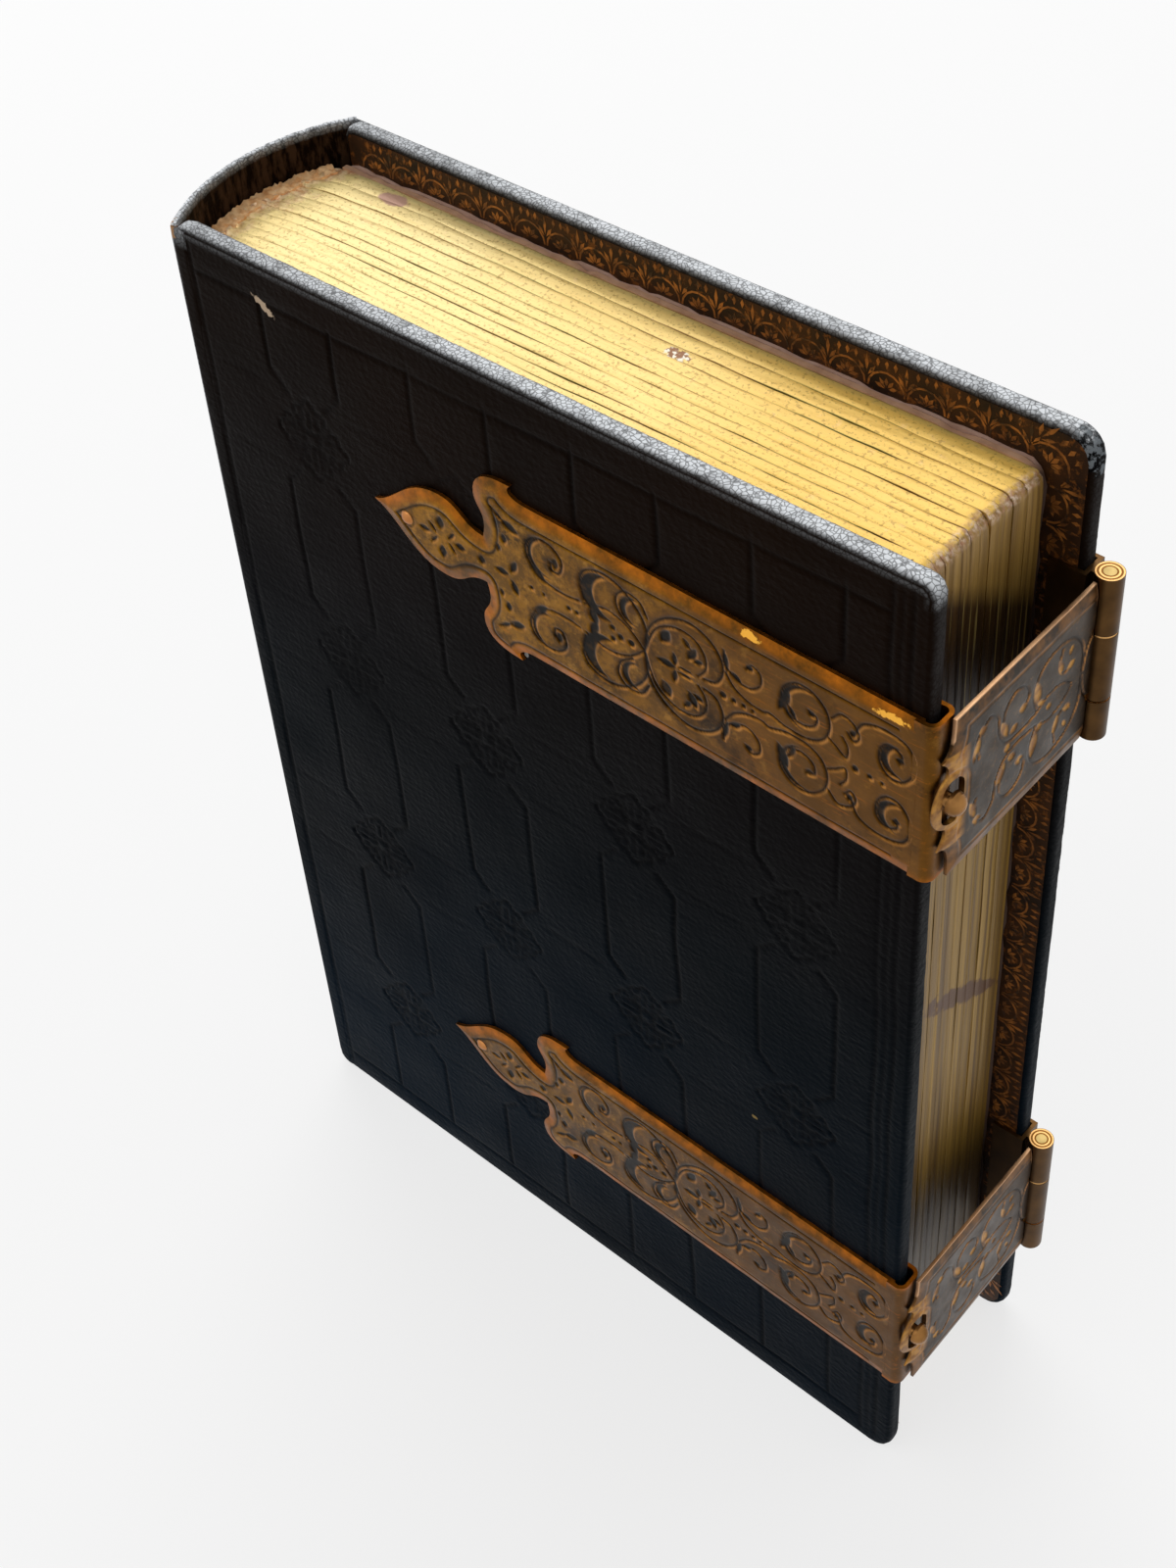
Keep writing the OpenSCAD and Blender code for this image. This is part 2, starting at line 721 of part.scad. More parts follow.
module back_board() {
  color(board_colour) place() difference() {
    to_back() cover_core();
    hinge_shanks(upper_z);
    hinge_shanks(lower_z);
  }
}

module back_leather() {
  color(leather_colour) place() difference() {
    to_back() cover_leather();
    hinge_shanks(upper_z);
    hinge_shanks(lower_z);
  }
}

module back_pastedown() {
  color(paste_colour) place() to_back() cover_lining();
}

module upper_hinge_plate() {
  color(brass_colour) place() hinge_plate(upper_z);
}

module lower_hinge_plate() {
  color(brass_colour) place() hinge_plate(lower_z);
}

module upper_hinge_pin() {
  color(steel_colour) place() hinge_pin(upper_z);
}

module lower_hinge_pin() {
  color(steel_colour) place() hinge_pin(lower_z);
}

module upper_hinge_tacks() {
  color(brass_colour) place() hinge_tacks(upper_z);
}

module lower_hinge_tacks() {
  color(brass_colour) place() hinge_tacks(lower_z);
}

module upper_strap() {
  color(strap_colour) place() strap(upper_z);
}

module lower_strap() {
  color(strap_colour) place() strap(lower_z);
}

page_block();
front_flyleaf();
back_flyleaf();
spine_leather();
spine_lining();
front_board();
front_leather();
front_pastedown();
upper_front_plate();
lower_front_plate();
upper_stud();
lower_stud();
upper_plate_tack();
lower_plate_tack();
back_board();
back_leather();
back_pastedown();
upper_hinge_plate();
lower_hinge_plate();
upper_hinge_pin();
lower_hinge_pin();
upper_hinge_tacks();
lower_hinge_tacks();
upper_strap();
lower_strap();
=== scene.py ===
import math

import bmesh
import bpy
import numpy as np
from mathutils import Matrix, Vector
from mathutils.geometry import delaunay_2d_cdt


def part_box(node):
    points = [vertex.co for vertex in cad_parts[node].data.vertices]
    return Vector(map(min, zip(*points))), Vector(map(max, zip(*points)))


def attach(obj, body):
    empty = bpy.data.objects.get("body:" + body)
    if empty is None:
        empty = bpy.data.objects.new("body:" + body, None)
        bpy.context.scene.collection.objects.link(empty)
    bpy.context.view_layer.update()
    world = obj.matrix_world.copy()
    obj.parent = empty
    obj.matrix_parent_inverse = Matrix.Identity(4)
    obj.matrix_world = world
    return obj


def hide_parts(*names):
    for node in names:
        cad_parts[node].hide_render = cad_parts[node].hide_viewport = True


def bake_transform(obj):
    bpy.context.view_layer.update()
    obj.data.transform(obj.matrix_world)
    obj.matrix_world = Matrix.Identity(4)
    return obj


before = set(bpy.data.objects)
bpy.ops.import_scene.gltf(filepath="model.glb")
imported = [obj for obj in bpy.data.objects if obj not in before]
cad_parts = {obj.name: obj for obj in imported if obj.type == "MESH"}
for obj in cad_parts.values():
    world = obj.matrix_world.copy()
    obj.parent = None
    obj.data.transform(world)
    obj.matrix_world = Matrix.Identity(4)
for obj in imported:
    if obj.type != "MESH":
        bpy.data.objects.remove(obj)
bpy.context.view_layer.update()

# All sizes are in millimetres. X runs from the spine joint, Y from the front face, Z up from the tail.
BOARD_W = 105.5
BOARD_H = 155.0
ALBUM_T = 30.0
COVER_T = 2.6
JOINT_GAP = 0.3
EDGE_R = 0.8
CORNER_R = 3.4
FRONT_HEAD_R = 1.8
SPINE_CORNER_R = 1.6
SPINE_TAIL_R = 2.3
TURN_IN_W = 5.2
SQUARE_Z = 5.0
BLOCK_X = 100.9
BLOCK_Y = 3.9
SPINE_BULGE = 4.5
SPINE_T = 1.0
LINING_T = 1.2
SPINE_R = (15.0 ** 2 + SPINE_BULGE ** 2) / (2 * SPINE_BULGE)
SPINE_X = SPINE_R - SPINE_BULGE
CLASP_Z = {"upper": 127.5, "lower": 31.0}
CLASP_W = 22.0
PLATE_LEN = 76.0
PLATE_END = 75.35
PLATE_TILT = 1.3
PLATE_T = 0.8
SHEET_T = 0.5
LIP_REACH = 1.3
STUD_Y = 1.5
STRAP_T = 0.7
STRAP_X = BOARD_W + 1.6
BARREL_R = 1.6
HINGE_X = BOARD_W + 2.4
HINGE_Y = 28.3
SLOT_Y = 1.65
SLOT_R = 1.75
SLOT_RISE = 1.3
KNUCKLE = (-5.35, 3.85)
STRAP_END = 26.55

leather_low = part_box("front_leather")[0]
ORIGIN = np.array([leather_low[0] * 1000 - JOINT_GAP, leather_low[1] * 1000, 0.0])


# Helpers

def tone(code):
    """A colour written as #rrggbb, as the linear values that a shader takes."""
    parts = [int(code[i:i + 2], 16) / 255 for i in (1, 3, 5)]
    return [p / 12.92 if p <= 0.04045 else ((p + 0.055) / 1.055) ** 2.4 for p in parts] + [1.0]


def lumps(x, y, seed=0):
    """Smooth random heights from -1 to 1, about one lump to each unit of x and y."""
    x = np.asarray(x, float)
    y = np.asarray(y, float) + 0 * x
    x = x + 0 * y
    xi = np.floor(x).astype(np.int64)
    yi = np.floor(y).astype(np.int64)

    def corner(i, j):
        n = (i * 73856093) ^ (j * 19349663) ^ (seed * 83492791 + 12345)
        n = ((n ^ (n >> 13)) * 1274126177) & 0x7fffffff
        n = (n ^ (n >> 16)) & 0xffff
        return n / 32767.5 - 1
    u = x - xi
    v = y - yi
    u = u * u * (3 - 2 * u)
    v = v * v * (3 - 2 * v)
    low = corner(xi, yi) * (1 - u) + corner(xi + 1, yi) * u
    high = corner(xi, yi + 1) * (1 - u) + corner(xi + 1, yi + 1) * u
    return low * (1 - v) + high * v


def grid_quads(rows, columns, closed=False):
    """Faces of a sheet of points with that many rows and columns; closed joins the last row to the first."""
    index = np.arange(rows * columns).reshape(rows, columns)
    if closed:
        index = np.vstack([index, index[:1]])
    a = index[:-1, :-1].ravel()
    b = index[1:, :-1].ravel()
    c = index[1:, 1:].ravel()
    d = index[:-1, 1:].ravel()
    return np.stack([a, b, c, d], 1).tolist()


def build(name, points, faces, materials, body, marks=None, sharp=50, merge=False, which=None):
    """Makes one piece from points in album millimetres, and lets it ride on its body."""
    mesh = bpy.data.meshes.new(name)
    mesh.from_pydata(((np.asarray(points, float) + ORIGIN) / 1000).tolist(), [], faces)
    for key, values in (marks or {}).items():
        layer = mesh.attributes.new(key, "FLOAT", "POINT")
        layer.data.foreach_set("value", np.asarray(values, np.float32))
    for material in materials:
        mesh.materials.append(material)
    if which is not None:
        mesh.polygons.foreach_set("material_index", np.asarray(which, np.int32))
    shell = bmesh.new()
    shell.from_mesh(mesh)
    if merge:
        bmesh.ops.remove_doubles(shell, verts=shell.verts, dist=2e-6)
        bmesh.ops.dissolve_degenerate(shell, edges=shell.edges, dist=1e-7)
    bmesh.ops.recalc_face_normals(shell, faces=shell.faces)
    shell.to_mesh(mesh)
    shell.free()
    mesh.shade_smooth()
    mesh.set_sharp_from_angle(angle=math.radians(sharp))
    piece = bpy.data.objects.new(name, mesh)
    bpy.context.collection.objects.link(piece)
    if body:
        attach(piece, body)
    return piece


def edge_distance(x, y, line, closed=True):
    """Distance from points to a line of points."""
    line = np.asarray(line, float)
    ends = np.roll(line, -1, 0) if closed else line[1:]
    starts = line if closed else line[:-1]
    best = np.full(np.shape(x), 1e9)
    for (ax, ay), (bx, by) in zip(starts, ends):
        dx = bx - ax
        dy = by - ay
        length = dx * dx + dy * dy
        if length < 1e-12:
            continue
        t = np.clip(((x - ax) * dx + (y - ay) * dy) / length, 0, 1)
        best = np.minimum(best, np.hypot(x - ax - t * dx, y - ay - t * dy))
    return best


def inside_line(x, y, line):
    """Whether points lie inside a closed line of points."""
    line = np.asarray(line, float)
    hit = np.zeros(np.shape(x), bool)
    for (ax, ay), (bx, by) in zip(line, np.roll(line, -1, 0)):
        if ay == by:
            continue
        crosses = (ay > y) != (by > y)
        hit ^= crosses & (x < (bx - ax) * (y - ay) / (by - ay) + ax)
    return hit


def curve(a, b, c, d, steps=12):
    """Points of a cubic curve after its first point."""
    t = np.linspace(0, 1, steps + 1)[1:, None]
    a, b, c, d = (np.asarray(p, float) for p in (a, b, c, d))
    return ((1 - t) ** 3 * a + 3 * (1 - t) ** 2 * t * b + 3 * (1 - t) * t * t * c + t ** 3 * d).tolist()


def arc(x, y, r, start, stop, steps=12):
    """Points of an arc, with its angles in degrees."""
    return [[x + r * math.cos(math.radians(start + (stop - start) * i / steps)),
             y + r * math.sin(math.radians(start + (stop - start) * i / steps))] for i in range(steps + 1)]


def flowing(points, steps=8):
    """Smooth line through points."""
    p = np.asarray([points[0]] + list(points) + [points[-1]], float)
    out = []
    for i in range(1, len(p) - 2):
        for t in np.arange(steps) / steps:
            out.append(0.5 * (2 * p[i] + (p[i + 1] - p[i - 1]) * t
                              + (2 * p[i - 1] - 5 * p[i] + 4 * p[i + 1] - p[i + 2]) * t ** 2
                              + (3 * p[i] - p[i - 1] - 3 * p[i + 1] + p[i + 2]) * t ** 3))
    out.append(p[-2])
    return np.array(out)


# Materials

class Finish:
    """A material under construction, with short ways to add and join its nodes."""

    def __init__(self, name, roughness=0.5, metallic=0.0, specular=0.5):
        self.material = bpy.data.materials.new(name)
        self.material.use_nodes = True
        self.tree = self.material.node_tree
        self.shader = self.tree.nodes["Principled BSDF"]
        self.shader.inputs["Roughness"].default_value = roughness
        self.shader.inputs["Metallic"].default_value = metallic
        self.shader.inputs["Specular IOR Level"].default_value = specular
        self.place = self.add("ShaderNodeTexCoord").outputs["Object"]

    def add(self, kind, **settings):
        node = self.tree.nodes.new(kind)
        for key, value in settings.items():
            setattr(node, key, value)
        return node

    def join(self, source, target):
        self.tree.links.new(source, target)

    def stretched(self, scale):
        """Object coordinates stretched along the axes."""
        node = self.add("ShaderNodeMapping")
        node.inputs["Scale"].default_value = scale
        self.join(self.place, node.inputs["Vector"])
        return node.outputs["Vector"]

    def noise(self, scale, detail=3.0, rough=0.5, vector=None):
        node = self.add("ShaderNodeTexNoise")
        node.inputs["Scale"].default_value = scale
        node.inputs["Detail"].default_value = detail
        node.inputs["Roughness"].default_value = rough
        self.join(vector or self.place, node.inputs["Vector"])
        return node.outputs["Fac"]

    def cells(self, scale, vector=None, feature="F1"):
        node = self.add("ShaderNodeTexVoronoi", feature=feature)
        node.inputs["Scale"].default_value = scale
        self.join(vector or self.place, node.inputs["Vector"])
        return node.outputs["Distance"]

    def ramp(self, value, low, high, bottom=0.0, top=1.0):
        """Turns a value between low and high into one between bottom and top."""
        node = self.add("ShaderNodeMapRange")
        for key, number in (("From Min", low), ("From Max", high), ("To Min", bottom), ("To Max", top)):
            node.inputs[key].default_value = number
        self.join(value, node.inputs["Value"])
        return node.outputs["Result"]

    def sum(self, a, b, operation="MULTIPLY"):
        node = self.add("ShaderNodeMath", operation=operation)
        for socket, value in zip(node.inputs, (a, b)):
            if isinstance(value, (int, float)):
                socket.default_value = value
            else:
                self.join(value, socket)
        return node.outputs[0]

    def mix(self, share, first, second):
        """Colour between two colours, each a code or a socket."""
        node = self.add("ShaderNodeMix", data_type="RGBA")
        self.join(share, node.inputs["Factor"])
        for socket, value in ((node.inputs[6], first), (node.inputs[7], second)):
            if isinstance(value, str):
                socket.default_value = tone(value)
            else:
                self.join(value, socket)
        return node.outputs[2]

    def mark(self, name):
        return self.add("ShaderNodeAttribute", attribute_name=name).outputs["Fac"]

    def along(self, axis, low, high, bottom=0.0, top=1.0):
        """Value that changes between two album positions along one axis."""
        split = self.add("ShaderNodeSeparateXYZ")
        self.join(self.place, split.inputs[0])
        shift = ORIGIN["XYZ".index(axis)]
        return self.ramp(split.outputs[axis], (low + shift) / 1000, (high + shift) / 1000, bottom, top)

    def spot(self, centre, size, ragged=0.35, scale=900, turn=(0, 0, 0)):
        """Ragged spot, 1 inside and 0 outside, from its centre and its half sizes in album millimetres."""
        node = self.add("ShaderNodeMapping", vector_type="TEXTURE")
        node.inputs["Location"].default_value = (np.array(centre, float) + ORIGIN) / 1000
        node.inputs["Rotation"].default_value = [math.radians(v) for v in turn]
        node.inputs["Scale"].default_value = [v / 1000 for v in size]
        self.join(self.place, node.inputs["Vector"])
        far = self.add("ShaderNodeVectorMath", operation="LENGTH")
        self.join(node.outputs["Vector"], far.inputs[0])
        uneven = self.ramp(self.noise(scale, 4, 0.6), 0.3, 0.7, -ragged, ragged)
        return self.ramp(self.sum(far.outputs["Value"], uneven, "ADD"), 0.8, 1.0, 1.0, 0.0)

    def colour(self, value):
        if isinstance(value, str):
            self.shader.inputs["Base Color"].default_value = tone(value)
        else:
            self.join(value, self.shader.inputs["Base Color"])

    def relief(self, value, height_mm, strength=1.0):
        node = self.add("ShaderNodeBump")
        node.inputs["Strength"].default_value = strength
        node.inputs["Distance"].default_value = height_mm / 1000
        self.join(value, node.inputs["Height"])
        self.join(node.outputs["Normal"], self.shader.inputs["Normal"])

    def rough(self, value):
        self.join(value, self.shader.inputs["Roughness"])


def leather_finish():
    """Near-black grained leather with dark tooling, painted shading from warm brown-black above to bluish black below,
    head edges pale from rubbed wear and a painted sheen, and a few bare places.
    """
    f = Finish("grained leather", roughness=0.45, specular=0.02)
    straight = f.noise(1.0, 3, 0.6, f.stretched((500, 500, 1500)))
    pebble = f.sum(f.sum(f.cells(1300), 0.5), f.sum(straight, 0.9), "ADD")
    # Painted shading: bluish black low on the cover, warm brown-black high up, as the light falls.
    base = f.mix(f.along("Z", 85, 150), f.mix(f.along("Z", 15, 80), "#02111d", "#040a0f"), "#170c05")
    base = f.mix(f.ramp(f.noise(22, 3), 0.4, 0.65, 0.0, 0.5), base, "#090807")
    wrinkles = f.ramp(f.noise(1.0, 4, 0.7, f.stretched((900, 900, 240))), 0.44, 0.60)
    base = f.mix(f.mark("inside"), base, f.mix(wrinkles, "#110a06", "#3d2b1e"))
    base = f.mix(f.sum(f.mark("groove"), 0.8), base, "#040303")
    # Pale head edges: rubbed wear with a painted bluish-white sheen, in grained cells and patches.
    skin = f.ramp(f.cells(1800, None, "DISTANCE_TO_EDGE"), 0.02, 0.14, 0.3, 1.0)
    patches = f.ramp(f.noise(330, 4, 0.65), 0.34, 0.50, 0.65, 1.0)
    base = f.mix(f.sum(f.mark("edge"), f.sum(skin, patches)), base, "#f2f6fa")
    torn = f.ramp(f.noise(1100, 4, 0.7), 0.47, 0.53)
    base = f.mix(f.sum(f.spot((104.2, 28.6, 152.6), (3.2, 3.0, 2.4), 0.4), 0.9), base,
                 f.mix(f.sum(torn, 0.7), "#08090b", "#8e959a"))
    base = f.mix(f.spot((0.0, 0.5, 153.9), (0.7, 1.2, 1.2), 0.4, 1200), base, "#a8805a")
    base = f.mix(f.spot((14.6, 0.0, 149.3), (1.9, 1.5, 0.55), 0.45, 1300, (0, 28, 0)), base, "#bfa88e")
    base = f.mix(f.spot((51.5, 0.0, 116.6), (0.35, 1.5, 0.45), 0.2, 2000), base, "#8f8d88")
    base = f.mix(f.spot((83.4, 0.0, 56.7), (0.5, 1.5, 0.3), 0.3, 2000), base, "#8a7448")
    f.colour(base)
    # Painted sheen colour: bluish low on the cover, warm high up.
    f.join(f.mix(f.along("Z", 85, 150), "#37709f", "#a86f3c"), f.shader.inputs["Specular Tint"])
    f.rough(f.ramp(f.noise(60, 3), 0.3, 0.7, 0.40, 0.55))
    f.relief(pebble, 0.13, 0.7)
    return f.material


def border_finish():
    """Dark brown leather turned in over the board's inner face, with traces of gilding."""
    f = Finish("turned-in leather", roughness=0.55, specular=0.2)
    base = f.mix(f.ramp(f.noise(260, 4), 0.35, 0.7), "#1c0f06", "#43260e")
    base = f.mix(f.sum(f.ramp(f.noise(900, 4, 0.7), 0.55, 0.62), 0.6), base, "#7a4718")
    f.colour(base)
    f.relief(f.noise(1200, 3), 0.06, 0.5)
    return f.material


def border_gold_finish():
    """Gold of the scallops on the turned-in leather, worn thin in places."""
    f = Finish("tooled gold", roughness=0.5, metallic=0.3)
    base = f.mix(f.ramp(f.noise(500, 3), 0.4, 0.6), "#74451a", "#a8692a")
    f.colour(f.mix(f.ramp(f.noise(650, 4, 0.65), 0.49, 0.62), base, "#2c190a"))
    return f.material


def gilt_finish():
    """Gilt edges of the card leaves, with specks, dull lines and wear at the spine, and on the fore-edge a painted
    shadow with painted highlight streaks and painted shade towards the tail.
    """
    f = Finish("gilt card", roughness=0.42, metallic=0.3)
    broad = f.ramp(f.noise(30, 3), 0.35, 0.65)
    base = f.mix(f.along("X", 25, 95), f.mix(broad, "#ecd083", "#f4dc96"), f.mix(broad, "#eabb4c", "#f3cb68"))
    streaks = f.ramp(f.noise(1.0, 3, 0.6, f.stretched((90, 2600, 90))), 0.5, 0.75)
    base = f.mix(f.sum(streaks, 0.3), base, "#c49a3a")
    specks = f.ramp(f.noise(2300, 2, 0.6), 0.57, 0.66)
    base = f.mix(f.sum(specks, 0.6), base, "#9c7628")
    base = f.mix(f.sum(f.along("Y", 25.0, 25.9), 0.3), base, "#9aa678")
    broken = f.ramp(f.noise(1.0, 3, 0.6, f.stretched((45, 420, 45))), 0.35, 0.6, 0.3, 1.0)
    seam = f.ramp(f.mark("across"), 0.88, 0.97)
    line = f.sum(f.sum(seam, broken), f.along("X", 2, 22))
    base = f.mix(line, base, f.mix(f.ramp(f.noise(60, 2), 0.45, 0.55), "#7d7222", "#8f651a"))
    base = f.mix(f.spot((11.4, 24.35, 150.0), (2.5, 1.3, 3.0), 0.15), base, "#c29882")
    flake = f.mix(f.ramp(f.noise(1500, 3, 0.6), 0.48, 0.54), "#8a5a2e", "#e9e2d0")
    base = f.mix(f.spot((58.7, 19.9, 150.0), (1.9, 0.9, 3.0), 0.4, 1300), base, flake)
    ragged = f.ramp(f.noise(600, 4, 0.7), 0.3, 0.7, -0.4, 0.4)
    crumbs = f.mix(f.ramp(f.noise(1500, 4, 0.7), 0.40, 0.56), "#cf9060", "#ffddb0")
    base = f.mix(f.ramp(f.sum(f.mark("spine_end"), ragged, "ADD"), 0.2, 1.0), base, crumbs)

    fine = f.ramp(f.noise(1.0, 4, 0.65, f.stretched((300, 1700, 14))), 0.35, 0.65)
    # Painted highlight streaks along the leaf edges inside the painted shadow.
    painted_highlight = f.ramp(f.noise(1.0, 2, 0.5, f.stretched((300, 2400, 30))), 0.64, 0.69)
    # Painted shadow of the cover and strap on the fore-edge.
    painted_shadow = f.mix(painted_highlight, f.mix(fine, "#2c1b0c", "#523818"), "#b39a58")
    # Lit gold below the strap's lower edge, painted shadow above it.
    fore_tone_and_shadow = f.mix(f.along("Z", 103, 113), f.mix(fine, "#654919", "#a88334"), painted_shadow)
    # Above a diagonal line near the head the painted shadow ends and the fore-edge is lit.
    shadow_boundary = f.sum(f.along("Z", 100, 160, 100, 160), f.along("Y", 4, 26, 0, 15), "ADD")
    fore_tone_and_shadow = f.mix(f.ramp(shadow_boundary, 147, 150), fore_tone_and_shadow, f.mix(fine, "#7c5c28", "#b08a45"))
    # Painted shade, darker towards the tail.
    fore_tone_and_shadow = f.mix(f.along("Z", 18, 66, 0.85, 0.0), fore_tone_and_shadow, "#2b1c0c")
    smear = f.spot((101.0, 18.0, 76.0), (5.0, 9.5, 1.7), 0.3, 500, (-31, 0, 0))
    fore_tone_and_shadow = f.mix(f.sum(smear, 0.92), fore_tone_and_shadow, "#56341b")
    fore_tone_and_shadow = f.mix(f.sum(seam, 0.28), fore_tone_and_shadow, "#2c1d0a")
    base = f.mix(f.mark("fore"), base, fore_tone_and_shadow)
    chipped = f.mix(f.ramp(f.noise(1600, 3), 0.4, 0.6), "#b98a6a", "#ecd2ba")
    base = f.mix(f.sum(f.mark("worn"), f.ramp(f.noise(1300, 4, 0.7), 0.4, 0.55)), base, chipped)
    f.colour(base)
    f.relief(f.sum(f.noise(1800, 3), f.sum(f.mark("spine_end"), f.noise(900, 4, 0.7)), "ADD"), 0.06, 0.5)
    return f.material


def brass_finish(name, tones, rim, ink, gold="#b58338"):
    """Aged brass: four tones from spine side to fore-edge side, a warm rim, dark or gilt engraving."""
    f = Finish(name, roughness=0.4, metallic=1.0)
    broad = f.ramp(f.noise(70, 4, 0.6), 0.35, 0.65)
    base = f.mix(f.along("X", 50, 82), f.mix(broad, tones[0], tones[1]), f.mix(broad, tones[2], tones[3]))
    base = f.mix(f.along("Z", 90, 30, 0.0, 0.35), base, "#3f2812")
    stain = f.ramp(f.noise(150, 5, 0.7), 0.55, 0.66)
    base = f.mix(f.sum(stain, 0.6), base, ink)
    scratches = f.ramp(f.noise(1.0, 4, 0.7, f.stretched((160, 2200, 2200))), 0.58, 0.68)
    base = f.mix(f.sum(scratches, 0.35), base, rim)
    spine_side = f.along("X", 92, 62, 0.3, 1.0)
    pits = f.ramp(f.noise(340, 6, 0.8), 0.44, 0.57, 0.0, 0.6)
    base = f.mix(f.sum(pits, spine_side), base, "#35230c")
    flecks = f.ramp(f.noise(560, 5, 0.75), 0.56, 0.66, 0.0, 0.4)
    base = f.mix(f.sum(flecks, spine_side), base, gold)
    dark = f.sum(f.mark("near"), f.ramp(f.noise(420, 5, 0.7), 0.42, 0.56, 0.05, 0.9))
    base = f.mix(dark, base, f.mix(f.ramp(f.noise(90, 2), 0.4, 0.6), ink, "#4a2f14"))
    base = f.mix(f.mark("rim"), base, f.mix(f.ramp(f.noise(300, 4, 0.65), 0.35, 0.65), rim, tones[2]))
    base = f.mix(f.mark("gold"), base, f.mix(f.ramp(f.noise(800, 3), 0.4, 0.6), gold, rim))
    base = f.mix(f.sum(f.mark("ink"), f.ramp(f.noise(700, 4, 0.7), 0.3, 0.5, 0.72, 1.0)), base, ink)
    base = f.mix(f.sum(f.mark("glint"), f.ramp(f.noise(500, 3), 0.35, 0.6, 0.1, 0.65)), base, "#d28f45")
    # Painted highlight along the strap's upper edge.
    base = f.mix(f.mark("painted_highlight"), base, "#e8b88c")
    for x, z, reach in ((84.3, 138.2, 1.3), (101.6, 137.3, 1.9)):
        base = f.mix(f.spot((x, -0.5, z), (reach, 1.5, 0.5), 0.5, 1100), base, "#f5b445")
    f.colour(base)
    f.rough(f.ramp(f.noise(260, 4, 0.6), 0.3, 0.7, 0.32, 0.52))
    f.relief(f.noise(1.0, 3, 0.6, f.stretched((300, 1500, 1500))), 0.02, 0.4)
    return f.material


def hinge_finish():
    """Brown brass of the hinges, with the rolled sheet's rings on the ends of the barrels."""
    f = Finish("hinge brass", roughness=0.4, metallic=1.0)
    base = f.mix(f.ramp(f.noise(160, 4, 0.6), 0.35, 0.65), "#3f2c18", "#5d4224")
    node = f.add("ShaderNodeMapping", vector_type="TEXTURE")
    node.inputs["Location"].default_value = (np.array([HINGE_X, HINGE_Y, 0]) + ORIGIN) / 1000
    node.inputs["Scale"].default_value = (0.001, 0.001, 1000)
    f.join(f.place, node.inputs["Vector"])
    far = f.add("ShaderNodeVectorMath", operation="LENGTH")
    f.join(node.outputs["Vector"], far.inputs[0])
    rings = f.add("ShaderNodeMath", operation="SINE")
    f.join(f.sum(far.outputs["Value"], 14.0), rings.inputs[0])
    ends = f.ramp(far.outputs["Value"], 1.5, 1.56, 1.0, 0.0)
    base = f.mix(ends, base, f.mix(f.ramp(rings.outputs[0], -0.2, 0.5), "#6b4518", "#e3b070"))
    f.colour(base)
    return f.material


def plain_finish(name, code, second, roughness, scale=300, metallic=0.0, relief=0.05, fore=None):
    """One colour mottled with a second one; fore is the colour that it darkens to at the fore-edge."""
    f = Finish(name, roughness=roughness, metallic=metallic)
    base = f.mix(f.ramp(f.noise(scale, 4), 0.35, 0.65), code, second)
    if fore:
        base = f.mix(f.along("X", 98.6, 100.2), base, fore)
    f.colour(base)
    if relief:
        f.relief(f.noise(scale * 3, 3), relief, 0.6)
    return f.material


LEATHER = leather_finish()
BORDER = border_finish()
BORDER_GOLD = border_gold_finish()
GILT = gilt_finish()
PLATE_BRASS = brass_finish("plate brass", ("#7a5110", "#9c6c18", "#5a3a10", "#704813"), "#b56614", "#0f0803")
STRAP_BRASS = brass_finish("strap brass", ("#2c241c", "#41362b", "#2c241c", "#41362b"), "#84592c", "#1c130c",
                           "#b8853c")
HINGE_BRASS = hinge_finish()
STUD_BRASS = plain_finish("rubbed brass", "#a27442", "#76522c", 0.32, 300, 1.0, 0.0)
TACK_COPPER = plain_finish("tack copper", "#d09058", "#a4693a", 0.3, 300, 1.0, 0.0)
PIN_METAL = plain_finish("pin metal", "#b39a62", "#8a7445", 0.4, 400, 1.0, 0.0)
PASTE = plain_finish("lining card", "#c6a290", "#b08a76", 0.8, 420, fore="#2b1a10")
FLY = plain_finish("flyleaf paper", "#c59c7c", "#a87f62", 0.8, 420, fore="#3a2415")
LINING = plain_finish("spine paper", "#ffd29a", "#e2a366", 0.9, 900, 0.0, 0.12)
BOARD = plain_finish("pasteboard", "#8d7a5e", "#7a6950", 0.9, 200)


# Stage and camera

# Share of the floor's colour that is plain white for the camera; the rest takes light and shadow
FLOOR_GLOW = 0.72


